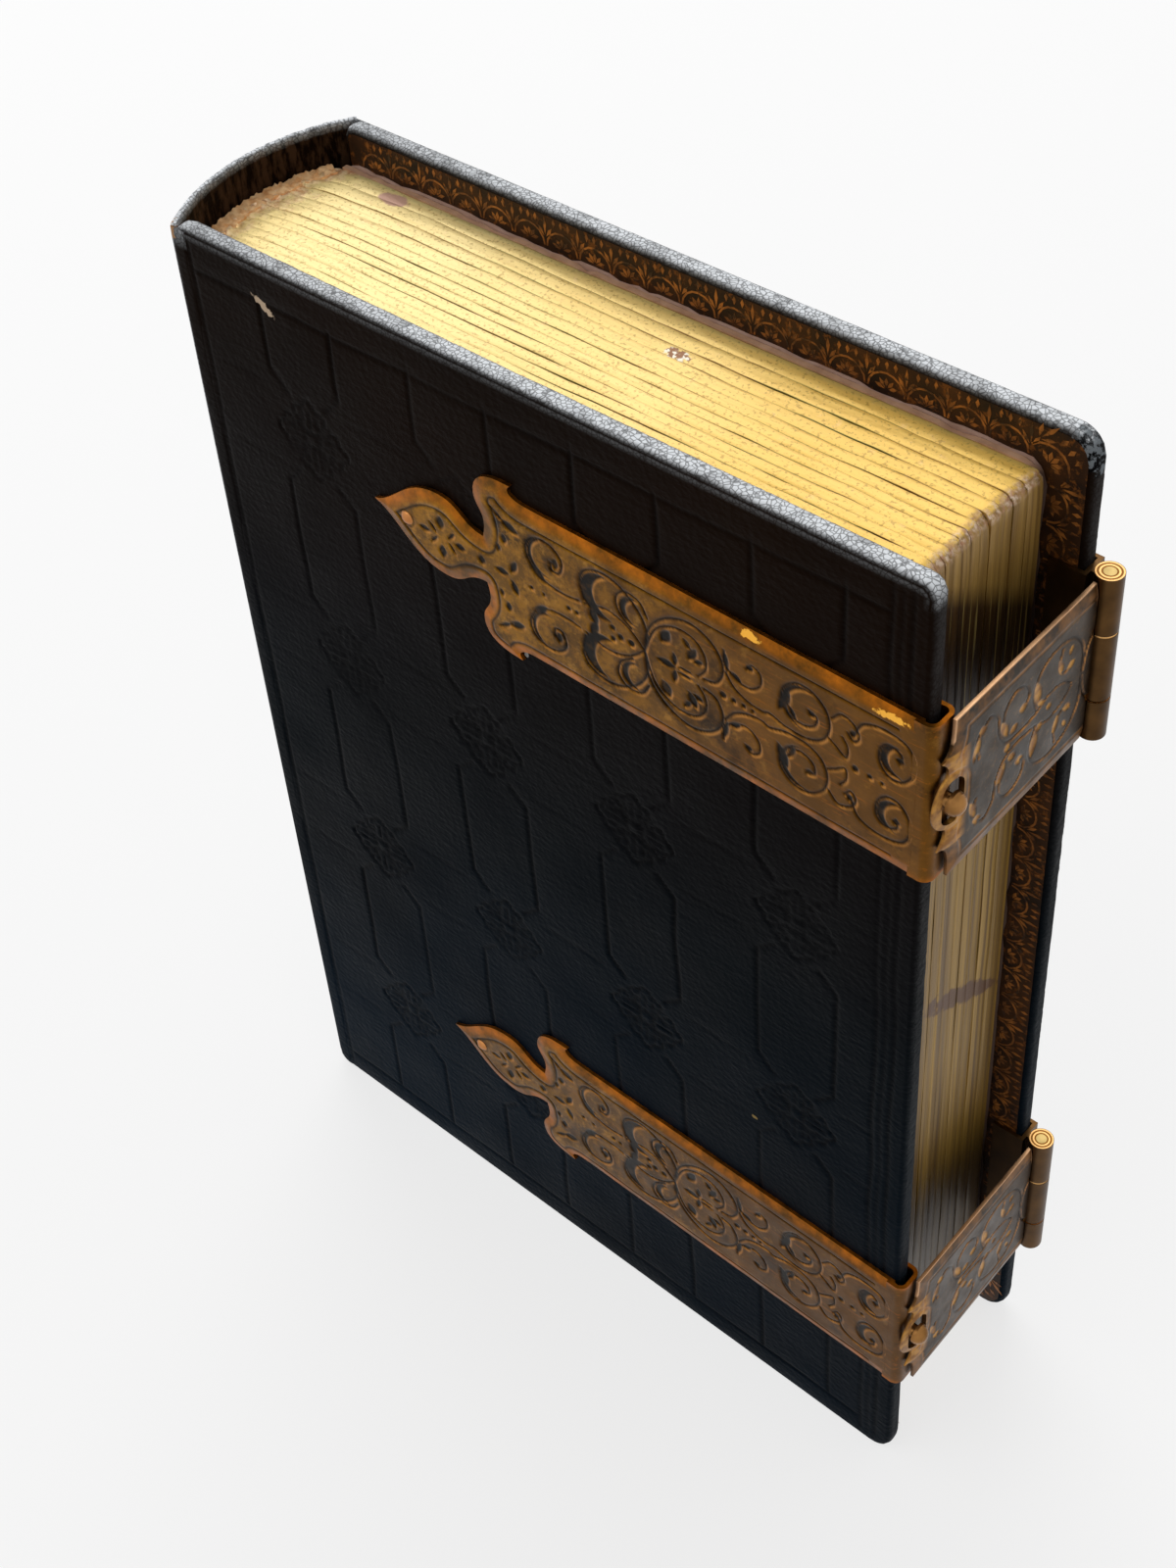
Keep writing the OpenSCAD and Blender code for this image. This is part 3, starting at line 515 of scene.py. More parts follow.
def stage():
    """Pale floor, soft lamps, and the camera at the photograph's place."""
    floor_mesh = bpy.data.meshes.new("floor")
    floor_mesh.from_pydata([(-4, -4, 0), (4, -4, 0), (4, 4, 0), (-4, 4, 0)], [], [(0, 1, 2, 3)])
    floor = bpy.data.objects.new("floor", floor_mesh)
    bpy.context.collection.objects.link(floor)
    pale = Finish("white floor", roughness=0.9, specular=0.1)
    pale.colour("#f7f7f7")
    path = pale.add("ShaderNodeLightPath")
    seen = pale.sum(pale.sum(path.outputs["Is Camera Ray"], path.outputs["Is Glossy Ray"], "ADD"),
                    path.outputs["Is Transmission Ray"], "ADD")
    white = pale.add("ShaderNodeEmission")
    both = pale.add("ShaderNodeMixShader")
    pale.join(pale.ramp(seen, 0.0, 1.0, 0.0, FLOOR_GLOW), both.inputs[0])
    pale.join(pale.shader.outputs[0], both.inputs[1])
    pale.join(white.outputs[0], both.inputs[2])
    pale.join(both.outputs[0], pale.tree.nodes["Material Output"].inputs["Surface"])
    floor_mesh.materials.append(pale.material)

    world = bpy.data.worlds.new("soft room")
    world.use_nodes = True
    bpy.context.scene.world = world
    tree = world.node_tree
    back = tree.nodes["Background"]
    path = tree.nodes.new("ShaderNodeLightPath")
    shown = tree.nodes.new("ShaderNodeMath")
    shown.operation = "ADD"
    shown.use_clamp = True
    tree.links.new(path.outputs["Is Camera Ray"], shown.inputs[0])
    seen = tree.nodes.new("ShaderNodeMath")
    seen.operation = "ADD"
    seen.use_clamp = True
    tree.links.new(path.outputs["Is Glossy Ray"], seen.inputs[0])
    tree.links.new(path.outputs["Is Transmission Ray"], seen.inputs[1])
    tree.links.new(seen.outputs[0], shown.inputs[1])
    level = tree.nodes.new("ShaderNodeMapRange")
    level.inputs["To Min"].default_value = 0.5
    level.inputs["To Max"].default_value = 1.0
    tree.links.new(shown.outputs[0], level.inputs["Value"])
    tree.links.new(level.outputs["Result"], back.inputs["Strength"])
    back.inputs["Color"].default_value = (1, 1, 1, 1)

    for name, azimuth, height, distance, size, power in (
            ("window lamp", 226, 42, 1.1, 0.9, 5.5),
            ("front lamp", 330, 50, 1.3, 0.9, 2.0)):
        a = math.radians(azimuth)
        e = math.radians(height)
        lamp = bpy.data.lights.new(name, "AREA")
        lamp.energy = power
        lamp.size = size
        light = bpy.data.objects.new(name, lamp)
        spot = Vector((math.sin(a) * math.cos(e), -math.cos(a) * math.cos(e), math.sin(e))) * distance
        light.location = spot + Vector((0, 0, 0.08))
        light.rotation_euler = spot.to_track_quat("Z", "Y").to_euler()
        bpy.context.collection.objects.link(light)

    camera = bpy.data.objects.new("camera", bpy.data.cameras.new("camera"))
    bpy.context.collection.objects.link(camera)
    bpy.context.scene.camera = camera
    camera.data.lens = 52.5
    camera.data.sensor_width = 36
    camera.data.sensor_fit = "AUTO"
    camera.data.shift_x = 0.0
    camera.data.shift_y = -0.125
    camera.data.clip_start = 0.01
    right = (0.753, 0.6554, -0.0581)
    down = (0.3986, -0.5246, -0.7523)
    ahead = (-0.5236, 0.5433, -0.6563)
    turn = Matrix((right, [-v for v in down], [-v for v in ahead])).transposed()
    place = (np.array([189.8, -132.7, 292.5]) + ORIGIN) / 1000
    camera.matrix_world = Matrix.Translation(Vector(place)) @ turn.to_4x4()
    scene = bpy.context.scene
    scene.view_settings.view_transform = "Standard"


# Covers

COLUMNS = [19.5 + 23.4 * i for i in range(4)]
ROWS = [27.5 + 35.0 * j for j in range(4)]
BAND = 5.6
CUT = 2.5
FIELD_IN = 5.2


def tooling_lines():
    """Lines of the trellis: upright bands with cut ends, cross lines and the border."""
    low = FIELD_IN
    right = BOARD_W - FIELD_IN
    top = BOARD_H - FIELD_IN
    lines = []
    ends = [low - 20] + ROWS + [top + 20]
    for x in COLUMNS:
        for z0, z1 in zip(ends[:-1], ends[1:]):
            for side in (-1, 1):
                edge = x + side * BAND
                inner = x + side * (BAND - CUT)
                start = max(z0 + BAND + CUT, low)
                stop = min(z1 - BAND - CUT, top)
                lines.append((edge, start, edge, stop, 1.0))
                if z0 > low:
                    lines.append((inner, z0 + BAND, edge, start, 0.9))
                if z1 < top:
                    lines.append((edge, stop, inner, z1 - BAND, 0.9))
    gaps = [low] + [x + s * (BAND + 1.2) for x in COLUMNS for s in (-1, 1)] + [right]
    for z in ROWS:
        for x0, x1 in zip(gaps[::2], gaps[1::2]):
            for side in (-1, 1):
                lines.append((x0, z + side * BAND, x1, z + side * BAND, 0.35))
    for inset, depth in ((2.4, 0.8), (3.6, 0.5), (4.8, 0.8)):
        lines.append((BOARD_W - inset, 1.0, BOARD_W - inset, BOARD_H - 1.0, depth))
    lines.append((2.8, 1.0, 2.8, BOARD_H - 1.0, 0.7))
    for z in (4.6, BOARD_H - 5.4):
        lines.append((2.8, z, BOARD_W - 4.8, z, 0.7))
    return lines


def petals(x, z):
    """Depth of a tooled flower of four leafy petals, from 0 to 1, round its middle."""
    depth = np.zeros(np.shape(x))
    for turn in range(4):
        a = math.radians(90 * turn)
        u = x * math.cos(a) + z * math.sin(a)
        v = -x * math.sin(a) + z * math.cos(a)
        phi = np.arctan2(v, u - 3.1)
        lobe = np.hypot(u - 3.1, v) - (2.25 + 0.35 * np.cos(5 * phi))
        depth = np.maximum(depth, np.exp(-(lobe / 0.30) ** 2))
        vein = np.hypot(v, np.maximum(0, np.maximum(0.8 - u, u - 4.2)))
        depth = np.maximum(depth, 0.9 * np.exp(-(vein / 0.25) ** 2))
        leaf = np.hypot((u - 3.0) / 1.2, (np.abs(v) - 1.15) / 0.45)
        depth = np.maximum(depth, 0.9 * np.clip(1.3 - leaf, 0, 1))
    notch = np.hypot(np.abs(x) - 3.0, np.abs(z) - 3.0)
    return np.maximum(depth, 0.45 * np.clip(1.5 - notch / 0.55, 0, 1))


def tooled(x, z):
    """Height of the cover's face with its tooling and slow waves, and the tooling's depth from 0 to 1."""
    x = x + 0.22 * lumps(x / 9, z / 9, 5)
    z = z + 0.22 * lumps(x / 9, z / 9, 6)
    depth = np.zeros(np.shape(x))
    for x0, z0, x1, z1, amount in tooling_lines():
        if z1 < z0:
            continue
        near = edge_distance(x, z, [(x0, z0), (x1, z1)], closed=False)
        depth = np.maximum(depth, amount * np.exp(-(near / 0.34) ** 2))
    for i, cx in enumerate(COLUMNS):
        for j, cz in enumerate(ROWS):
            near = (np.abs(x - cx) < 6.6) & (np.abs(z - cz) < 6.6)
            depth[near] = np.maximum(depth[near], petals(x[near] - cx, z[near] - cz))
    fade = 0.75 + 0.25 * lumps(x / 14, z / 14, 9)
    waves = 0.035 * lumps(x / 6, z / 6, 2) + 0.015 * lumps(x / 1.7, z / 1.7, 3)
    return -0.24 * depth * fade + waves, depth * fade


def steps_between(low, high, zones, coarse):
    """Positions from low to high: close together inside zones, coarse elsewhere."""
    marks = [low]
    while marks[-1] < high - 1e-6:
        here = marks[-1]
        step = coarse
        for start, stop, fine in zones:
            if start <= here < stop:
                step = min(step, fine)
            elif here < start < here + step:
                step = min(step, max(start - here, 0.05))
        marks.append(min(here + step, high))
    if marks[-1] - marks[-2] < 0.05:
        marks.pop(-2)
    return np.array(marks)


def rounded_corner(x, z, x0, x1, z0, z1, left, right, right_head=None, left_tail=None):
    """Moves a sheet's points so that its four corners are rounded."""
    x = x.copy()
    z = z.copy()
    for cx, sx, radius in ((x0, -1, left), (x1, 1, right)):
        for cz, sz in ((z0, -1), (z1, 1)):
            r = right_head if right_head and sx > 0 and sz > 0 else radius
            r = left_tail if left_tail and sx < 0 and sz < 0 else r
            a = (sx * (x - cx) + r) / r
            b = (sz * (z - cz) + r) / r
            near = (a > 0) & (b > 0)
            na = a * np.sqrt(np.maximum(0, 1 - b * b / 2))
            nb = b * np.sqrt(np.maximum(0, 1 - a * a / 2))
            x = np.where(near, cx - sx * r + sx * r * na, x)
            z = np.where(near, cz - sz * r + sz * r * nb, z)
    return x, z


# How pale each step round a cover's edge is, from rubbed wear and a painted sheen, from its outer face to its inner
# face
RUB_AND_SHEEN_BAND = (0.0, 0.1, 0.45, 0.9, 1.0, 1.0, 1.0, 0.75, 0.3, 0.08, 0.0)


def rubbed(z):
    """How pale the leather is at a height, from rubbed wear and a painted sheen: almost only along the head."""
    return 0.02 + 0.98 * np.clip((z - (BOARD_H - 1.9)) / 0.9, 0, 1)


def cover_skin(name, node, body, back):
    """Leather of one cover: tooled face, rounded edges and the border turned in."""
    x0 = JOINT_GAP + EDGE_R
    x1 = BOARD_W - EDGE_R
    z0 = EDGE_R
    z1 = BOARD_H - EDGE_R
    x_zones = [(c - 6.2, c + 6.2, 0.42) for c in COLUMNS]
    x_zones += [(c + s * BAND - 0.8, c + s * BAND + 0.8, 0.2) for c in COLUMNS for s in (-1, 1)]
    x_zones += [(BOARD_W - 5.6, BOARD_W - 1.6, 0.28), (2.2, 3.5, 0.25)]
    z_zones = [(r - 6.2, r + 6.2, 0.42) for r in ROWS]
    z_zones += [(r + s * BAND - 3.4, r + s * BAND + 3.4, 0.5) for r in ROWS for s in (-1, 1)]
    z_zones += [(4.0, 5.3, 0.25), (BOARD_H - 6.0, BOARD_H - 4.8, 0.25)]
    xs = steps_between(x0, x1, x_zones, 1.3)
    zs = steps_between(z0, z1, z_zones, 1.6)
    gx, gz = np.meshgrid(xs, zs)
    head_r = CORNER_R if back else FRONT_HEAD_R
    fx, fz = rounded_corner(gx, gz, x0, x1, z0, z1, SPINE_CORNER_R - EDGE_R, CORNER_R - EDGE_R,
                            head_r - EDGE_R, SPINE_TAIL_R - EDGE_R)
    rim = np.minimum(np.minimum(gx - x0, x1 - gx), np.minimum(gz - z0, z1 - gz))
    height, groove = tooled(gx, gz)
    height = height * np.clip(rim / 1.2, 0, 1)
    rows, columns = gx.shape
    face = np.stack([fx, -height, fz], -1).reshape(-1, 3)
    index = np.arange(rows * columns).reshape(rows, columns)
    loop = np.concatenate([index[0, :-1], index[:-1, -1], index[-1, :0:-1], index[:0:-1, 0]])
    faces = grid_quads(rows, columns)
    outline = face[loop][:, [0, 2]]
    ahead = np.roll(outline, -1, 0) - np.roll(outline, 1, 0)
    out = np.stack([ahead[:, 1], -ahead[:, 0]], 1)
    out /= np.linalg.norm(out, axis=1)[:, None]
    profile = [(EDGE_R * math.sin(math.radians(a)), EDGE_R - EDGE_R * math.cos(math.radians(a)))
               for a in (18, 36, 54, 72, 90)]
    profile += [(EDGE_R, COVER_T / 2)]
    profile += [(EDGE_R * math.cos(math.radians(a)), COVER_T - EDGE_R + EDGE_R * math.sin(math.radians(a)))
                for a in (0, 22, 45, 67, 90)]
    points = [face]
    # Rubbed wear and painted sheen on the face beside its rim, almost only at the head.
    edge = [np.clip(1 - rim.ravel() / 0.5, 0, 1) * 0.1 * rubbed(gz.ravel())]
    count = len(face)
    last = loop
    walk = np.arange(len(loop)) / 3.0
    for step, (reach, depth) in enumerate(profile):
        rough = 0.05 * lumps(walk, depth * 3, 11) + 0.03 * lumps(walk * 3, depth * 5, 12)
        inward = np.minimum(0, rough - 0.04) if 2 <= step <= 8 else 0.5 * np.minimum(0, rough)
        ring = outline + out * (reach + inward)[:, None]
        y = np.full(len(loop), depth)
        points.append(np.stack([ring[:, 0], y, ring[:, 1]], 1))
        # Rubbed wear and painted sheen round the edge, a little paler towards the fore-edge.
        edge.append(rubbed(ring[:, 1]) * RUB_AND_SHEEN_BAND[step] * (0.7 + 0.3 * np.clip((ring[:, 0] - 6) / 36, 0, 1)))
        now = np.arange(count, count + len(loop))
        faces += np.stack([last, np.roll(last, -1), np.roll(now, -1), now], 1).tolist()
        count += len(loop)
        last = now
    border_from = len(faces)
    inner = np.stack([np.clip(outline[:, 0], JOINT_GAP + 0.9, BOARD_W - TURN_IN_W),
                      np.clip(outline[:, 1], TURN_IN_W, BOARD_H - TURN_IN_W)], 1)
    for share in (0.5, 1.0):
        ring = outline * (1 - share) + inner * share
        points.append(np.stack([ring[:, 0], np.full(len(loop), COVER_T), ring[:, 1]], 1))
        edge.append(np.zeros(len(loop)))
        now = np.arange(count, count + len(loop))
        faces += np.stack([last, np.roll(last, -1), np.roll(now, -1), now], 1).tolist()
        count += len(loop)
        last = now
    faces.append(last.tolist())
    points = np.vstack(points)
    which = [0] * border_from + [1] * (len(faces) - border_from)
    if back:
        points[:, 1] = ALBUM_T - points[:, 1]
    marks = {"edge": np.concatenate(edge), "groove": np.zeros(len(points))}
    marks["groove"][:len(face)] = groove.ravel() * np.clip(rim.ravel() / 1.2, 0, 1)
    piece = build(name, points, faces, [LEATHER, BORDER], body, marks, 40, True, which)
    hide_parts(node)
    return piece


# Spine

def spine_point(radius, share):
    """Point on the spine's arc: share runs from the front joint to the back joint."""
    half = math.asin(ALBUM_T / 2 / SPINE_R)
    angle = math.pi + half - 2 * half * share
    return SPINE_X + radius * math.cos(angle), ALBUM_T / 2 + radius * math.sin(angle)


def tail_lift(x, z):
    """How far leather near the tail is drawn up, so that the corner beside the spine is round."""
    gap = SPINE_TAIL_R - np.clip(x + 0.2, 0, SPINE_TAIL_R)
    return (SPINE_TAIL_R - np.sqrt(SPINE_TAIL_R ** 2 - gap ** 2)) * np.clip(1 - z / 8, 0, 1)


def spine_skin():
    """Rounded leather spine: outer face, rounded head and tail rims, inner wall."""
    shares = np.linspace(0, 1, 72)
    section = [(0.0, z) for z in np.linspace(0.6, BOARD_H - 0.6, 110)]
    section += [(-0.5 + 0.5 * math.cos(math.radians(a)), BOARD_H - 0.6 + 0.6 * math.sin(math.radians(a)))
                for a in (22, 45, 67, 90, 113, 135, 158, 180)]
    section += [(-SPINE_T, z) for z in np.linspace(BOARD_H - 1.2, 1.2, 40)]
    section += [(-0.5 - 0.5 * math.cos(math.radians(a)), 0.6 - 0.6 * math.sin(math.radians(a)))
                for a in (0, 22, 45, 67, 90, 113, 135, 158)]
    points = []
    edge = []
    inside = []
    for share in shares:
        for inset, z in section:
            rough = 0.05 * float(lumps(share * 90, z / 1.5, 21)) if z > BOARD_H - 1.3 else 0.0
            x, y = spine_point(SPINE_R + inset + min(0, rough), share)
            points.append((x, y, min(max(z + rough * 1.5, 0.0), BOARD_H)))
            # Rubbed wear and painted sheen along the head rim, weaker on the inner wall.
            near = min(1.0, max(0.0, (z - BOARD_H + 0.9) / 0.5)) * 0.95
            edge.append(near * (1.0 if inset > -0.8 else 0.4))
            inside.append(float(inset < -0.95))
    rows = len(shares)
    columns = len(section)
    points = np.array(points)
    beside = np.repeat(np.minimum(shares, 1 - shares) * 16 - 0.2, columns)
    points[:, 2] += tail_lift(beside, points[:, 2])
    index = np.arange(rows * columns).reshape(rows, columns)
    index = np.hstack([index, index[:, :1]])
    faces = np.stack([index[:-1, :-1].ravel(), index[1:, :-1].ravel(),
                      index[1:, 1:].ravel(), index[:-1, 1:].ravel()], 1).tolist()
    faces.append(list(range(columns)))
    faces.append(list(range((rows - 1) * columns, rows * columns)))
    piece = build("spine_skin", points, faces, [LEATHER], "book_block",
                  {"edge": edge, "inside": inside}, 60)
    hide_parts("spine_leather")


def joint_strip(name, back):
    """Leather that runs over a joint from the spine onto the cover."""
    path = [(-1.35, 2.25), (-0.95, 1.5), (-0.6, 0.92), (-0.3, 0.44), (-0.08, 0.12), (0.15, 0.0), (0.6, -0.03),
            (1.1, -0.04), (1.7, -0.03), (2.3, 0.02)]
    zs = np.concatenate([np.linspace(0.5, 7.5, 8), np.linspace(10, BOARD_H - 0.5, 57)])
    under = [(x + 0.25, y + 0.3) for x, y in path[::-1]]
    ring = path + under
    points = [(x, y, z) for z in zs for x, y in ring]
    rows = len(zs)
    columns = len(ring)
    index = np.arange(rows * columns).reshape(rows, columns)
    index = np.hstack([index, index[:, :1]])
    faces = np.stack([index[:-1, :-1].ravel(), index[1:, :-1].ravel(),
                      index[1:, 1:].ravel(), index[:-1, 1:].ravel()], 1).tolist()
    faces.append(list(range(columns)))
    faces.append(list(range((rows - 1) * columns, rows * columns)))
    points = np.array(points)
    points[:, 2] += tail_lift(points[:, 0], points[:, 2])
    if back:
        points[:, 1] = ALBUM_T - points[:, 1]
    # Rubbed wear and painted sheen along the head end.
    edge = np.clip((points[:, 2] - BOARD_H + 0.9) / 0.5, 0, 1) * 0.4
    piece = build(name, points, faces, [LEATHER], None, {"edge": edge}, 60)
    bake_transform(piece)


def spine_paper():
    """Worn paper and glue over the back of the leaves, crumbled along its head edge."""
    shares = np.linspace(0.13, 0.87, 120)
    outer = SPINE_R - SPINE_T
    section = [(0.0, SQUARE_Z), (0.0, 60.0), (0.0, 110.0), (0.0, 148.8)]
    section += [(-t, 149.8) for t in np.linspace(0.15, 2.6, 12)]
    section += [(-2.6, 110.0), (-2.6, 60.0), (-2.6, SQUARE_Z)]
    points = []
    for share in shares:
        for inset, z in section:
            if z > 149:
                z += 0.25 * float(lumps(share * 75, inset * 1.8, 31)) + 0.12 * float(lumps(share * 160, inset * 4, 32))
            shift = 0.25 * float(lumps(share * 40, z, 33)) if inset < -2.5 else 0.0
            x, y = spine_point(outer + inset + shift, share)
            points.append((x, y, z))
    rows = len(shares)
    columns = len(section)
    index = np.arange(rows * columns).reshape(rows, columns)
    index = np.hstack([index, index[:, :1]])
    faces = np.stack([index[:-1, :-1].ravel(), index[1:, :-1].ravel(),
                      index[1:, 1:].ravel(), index[:-1, 1:].ravel()], 1).tolist()
    faces.append(list(range(columns)))
    faces.append(list(range((rows - 1) * columns, rows * columns)))
    piece = build("spine_paper", points, faces, [LINING], "book_block", None, 60)
    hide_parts("spine_lining")


# Leaves

LEAF_EDGES = [3.9, 5.5, 6.7, 8.1, 9.5, 11.0, 12.7, 14.1, 15.7, 17.4, 19.3, 21.3, 23.6, 26.1]


def leaf_tree():
    """Node tree that sets one card leaf on each point, as thick as its point says."""
    tree = bpy.data.node_groups.new("card leaves", "GeometryNodeTree")
    face = tree.interface
    face.new_socket("Geometry", in_out="INPUT", socket_type="NodeSocketGeometry")
    face.new_socket("Leaf width", in_out="INPUT", socket_type="NodeSocketFloat")
    face.new_socket("Leaf height", in_out="INPUT", socket_type="NodeSocketFloat")
    face.new_socket("Card", in_out="INPUT", socket_type="NodeSocketMaterial")
    face.new_socket("Geometry", in_out="OUTPUT", socket_type="NodeSocketGeometry")
    n = tree.nodes
    link = tree.links.new
    start = n.new("NodeGroupInput")
    stop = n.new("NodeGroupOutput")
    size = n.new("ShaderNodeCombineXYZ")
    link(start.outputs["Leaf width"], size.inputs["X"])
    size.inputs["Y"].default_value = 1.0
    link(start.outputs["Leaf height"], size.inputs["Z"])
    card = n.new("GeometryNodeMeshCube")
    card.inputs["Vertices X"].default_value = 84
    card.inputs["Vertices Y"].default_value = 7
    card.inputs["Vertices Z"].default_value = 38
    link(size.outputs[0], card.inputs["Size"])
    where = n.new("GeometryNodeInputPosition")
    split = n.new("ShaderNodeSeparateXYZ")
    link(where.outputs[0], split.inputs[0])
    across = n.new("ShaderNodeMath")
    across.operation = "MULTIPLY"
    across.inputs[1].default_value = 2.0
    link(split.outputs["Y"], across.inputs[0])
    keep = n.new("GeometryNodeStoreNamedAttribute")
    keep.data_type = "FLOAT"
    keep.inputs["Name"].default_value = "across"
    link(card.outputs["Mesh"], keep.inputs["Geometry"])
    link(across.outputs[0], keep.inputs["Value"])
    thick = n.new("GeometryNodeInputNamedAttribute")
    thick.data_type = "FLOAT"
    thick.inputs["Name"].default_value = "thickness"
    scale = n.new("ShaderNodeCombineXYZ")
    scale.inputs["X"].default_value = 1.0
    scale.inputs["Z"].default_value = 1.0
    link(thick.outputs[0], scale.inputs["Y"])
    instance = n.new("GeometryNodeInstanceOnPoints")
    link(start.outputs["Geometry"], instance.inputs["Points"])
    link(keep.outputs["Geometry"], instance.inputs["Instance"])
    link(scale.outputs[0], instance.inputs["Scale"])
    real = n.new("GeometryNodeRealizeInstances")
    link(instance.outputs[0], real.inputs[0])
    paint = n.new("GeometryNodeSetMaterial")
    link(real.outputs[0], paint.inputs["Geometry"])
    link(start.outputs["Card"], paint.inputs["Material"])
    link(paint.outputs[0], stop.inputs["Geometry"])
    return tree


def grown(name, base, tree, values):
    """Runs a node tree on a base mesh and returns the plain mesh that it makes."""
    helper = bpy.data.objects.new(name, base)
    bpy.context.collection.objects.link(helper)
    modifier = helper.modifiers.new(name, "NODES")
    modifier.node_group = tree
    for item in tree.interface.items_tree:
        if item.in_out == "INPUT" and item.name in values:
            modifier[item.identifier] = values[item.name]
    graph = bpy.context.evaluated_depsgraph_get()
    mesh = bpy.data.meshes.new_from_object(helper.evaluated_get(graph))
    helper.modifiers.remove(modifier)
    bpy.data.objects.remove(helper)
    return mesh


def mesh_points(mesh):
    flat = np.empty(len(mesh.vertices) * 3, np.float32)
    mesh.vertices.foreach_get("co", flat)
    return flat.reshape(-1, 3).astype(float)


def mesh_mark(mesh, name):
    values = np.empty(len(mesh.vertices), np.float32)
    mesh.attributes[name].data.foreach_get("value", values)
    return values.astype(float)


def leaves():
    """The thirteen card leaves, bent to the rounded spine and the hollow fore-edge."""
    edges = np.array(LEAF_EDGES)
    thickness = np.diff(edges)
    base = bpy.data.meshes.new("leaf places")
    base.from_pydata([(0, (a + b) / 2, 0) for a, b in zip(edges[:-1], edges[1:])], [], [])
    layer = base.attributes.new("thickness", "FLOAT", "POINT")
    layer.data.foreach_set("value", thickness.astype(np.float32))
    block_h = BOARD_H - 2 * SQUARE_Z
    mesh = grown("leaf places", base, leaf_tree(), {"Leaf width": 100.0, "Leaf height": block_h, "Card": GILT})
    co = mesh_points(mesh)
    across = mesh_mark(mesh, "across")
    share = np.clip(co[:, 0] / 100 + 0.5, 0, 1)
    u = share - 0.7 * np.sin(2 * math.pi * share) / (2 * math.pi)
    y = co[:, 1]
    level = co[:, 2] / (block_h / 2)
    up = (level + 0.8 * np.sin(math.pi * level) / math.pi) * block_h / 2
    z = up + BOARD_H / 2
    leaf = np.clip(np.searchsorted(edges, y - across * 0.01) - 1, 0, 12)
    radius = SPINE_R - SPINE_T - LINING_T
    back_x = SPINE_X - np.sqrt(radius ** 2 - (y - 15) ** 2)
    fore_x = BLOCK_X - 0.5 * (1 - ((y - 15) / 11.1) ** 2) + 0.10 * lumps(leaf * 7.3, 0, 41)
    fore_x = fore_x - (0.25 + 0.25 * lumps(leaf * 5.9, 0, 50)) * np.clip((z - 146) / 4, 0, 1) ** 2
    x = back_x * (1 - u) + fore_x * u
    wave = 0.30 * lumps(x / 16 + leaf * 0.35, z / 40 + leaf * 0.11, 42)
    wave += 0.10 * lumps(x / 4.5 + leaf * 3.1, z / 15, 43)
    calm = np.clip(np.minimum(y - 3.9, 26.1 - y) / 2.0, 0, 1)
    bend = -1.1 * np.clip((16 - x) / 16, 0, 1) ** 2 * calm
    new_y = y + wave * calm + bend
    head = np.abs(up) > block_h / 2 - 1e-3
    fore = u > 1 - 1e-4
    side = np.abs(across)
    round_off = np.clip((side - 0.8) / 0.2, 0, 1) ** 2
    to_fore = fore_x - x
    to_head = block_h / 2 - np.abs(up)
    corner = np.clip(1 - to_fore / 1.6, 0, 1) * np.clip(1 - to_head / 1.6, 0, 1)
    chip = 1.3 + 0.6 * lumps(leaf * 9.7, 3, 47)
    a = np.clip(1 - to_fore / chip, 0, 1)
    b = np.clip(1 - to_head / chip, 0, 1)
    z = z - np.sign(up) * head * (0.08 * round_off + 0.08 * (lumps(leaf * 5.1, 0, 44) + 1) * 0.5)
    z = z - np.sign(up) * head * 0.05 * (lumps(x / 2.5, y * 2, 45) + 1)
    x = x - fore * (0.1 * round_off + 0.05 * (lumps(z / 5, leaf * 3.3, 46) + 1))
    x = x - chip * a * (1 - np.sqrt(1 - b * b / 2))
    z = z - np.sign(up) * chip * b * (1 - np.sqrt(1 - a * a / 2))
    points = np.stack([x, new_y, z], 1)
    faces = [tuple(p.vertices) for p in mesh.polygons]
    worn = np.clip(corner * 1.9 - 0.2, 0, 1) * (0.6 + 0.4 * side)
    spine_end = np.clip(1.15 - (x - back_x) / (4.6 + 1.4 * lumps(y / 2, 0, 48)), 0, 1)
    crumbled = spine_end * (lumps(x * 2, y * 2, 49) + 1) * 0.25 * head
    points[:, 2] -= np.sign(up) * crumbled
    marks = {"across": side, "fore": fore.astype(float), "worn": worn, "spine_end": spine_end * head}
    piece = build("card_leaves", points, faces, [GILT], "book_block", marks, 40)
    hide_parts("page_block")


# Clasps

def plate_outline():
    """Front plate in distance from its tip and height above its centre line."""
    w = CLASP_W / 2
    ear = w + 1.8
    half = [[0, 0]]
    half += curve([0, 0], [3.6, 1.0], [5.4, 5.95], [10.7, 5.95])
    half += curve([10.7, 5.95], [14.05, 5.95], [14.05, 3.4], [17.4, 3.4])
    half += curve([17.4, 3.4], [18.45, 7.2], [16.4, 7.2], [16.4, w - 1.8])
    half += curve([16.4, w - 1.8], [16.4, ear], [20.0, ear], [22.1, ear])
    half += curve([22.1, ear], [21.05, w + 0.9], [22.1, w], [24.2, w])
    half += [[s, w] for s in np.linspace(27, PLATE_END, 24)]
    return half + [[PLATE_END, t] for t in np.linspace(w, -w, 24)[1:-1]] + [[s, -t] for s, t in half[:0:-1]]


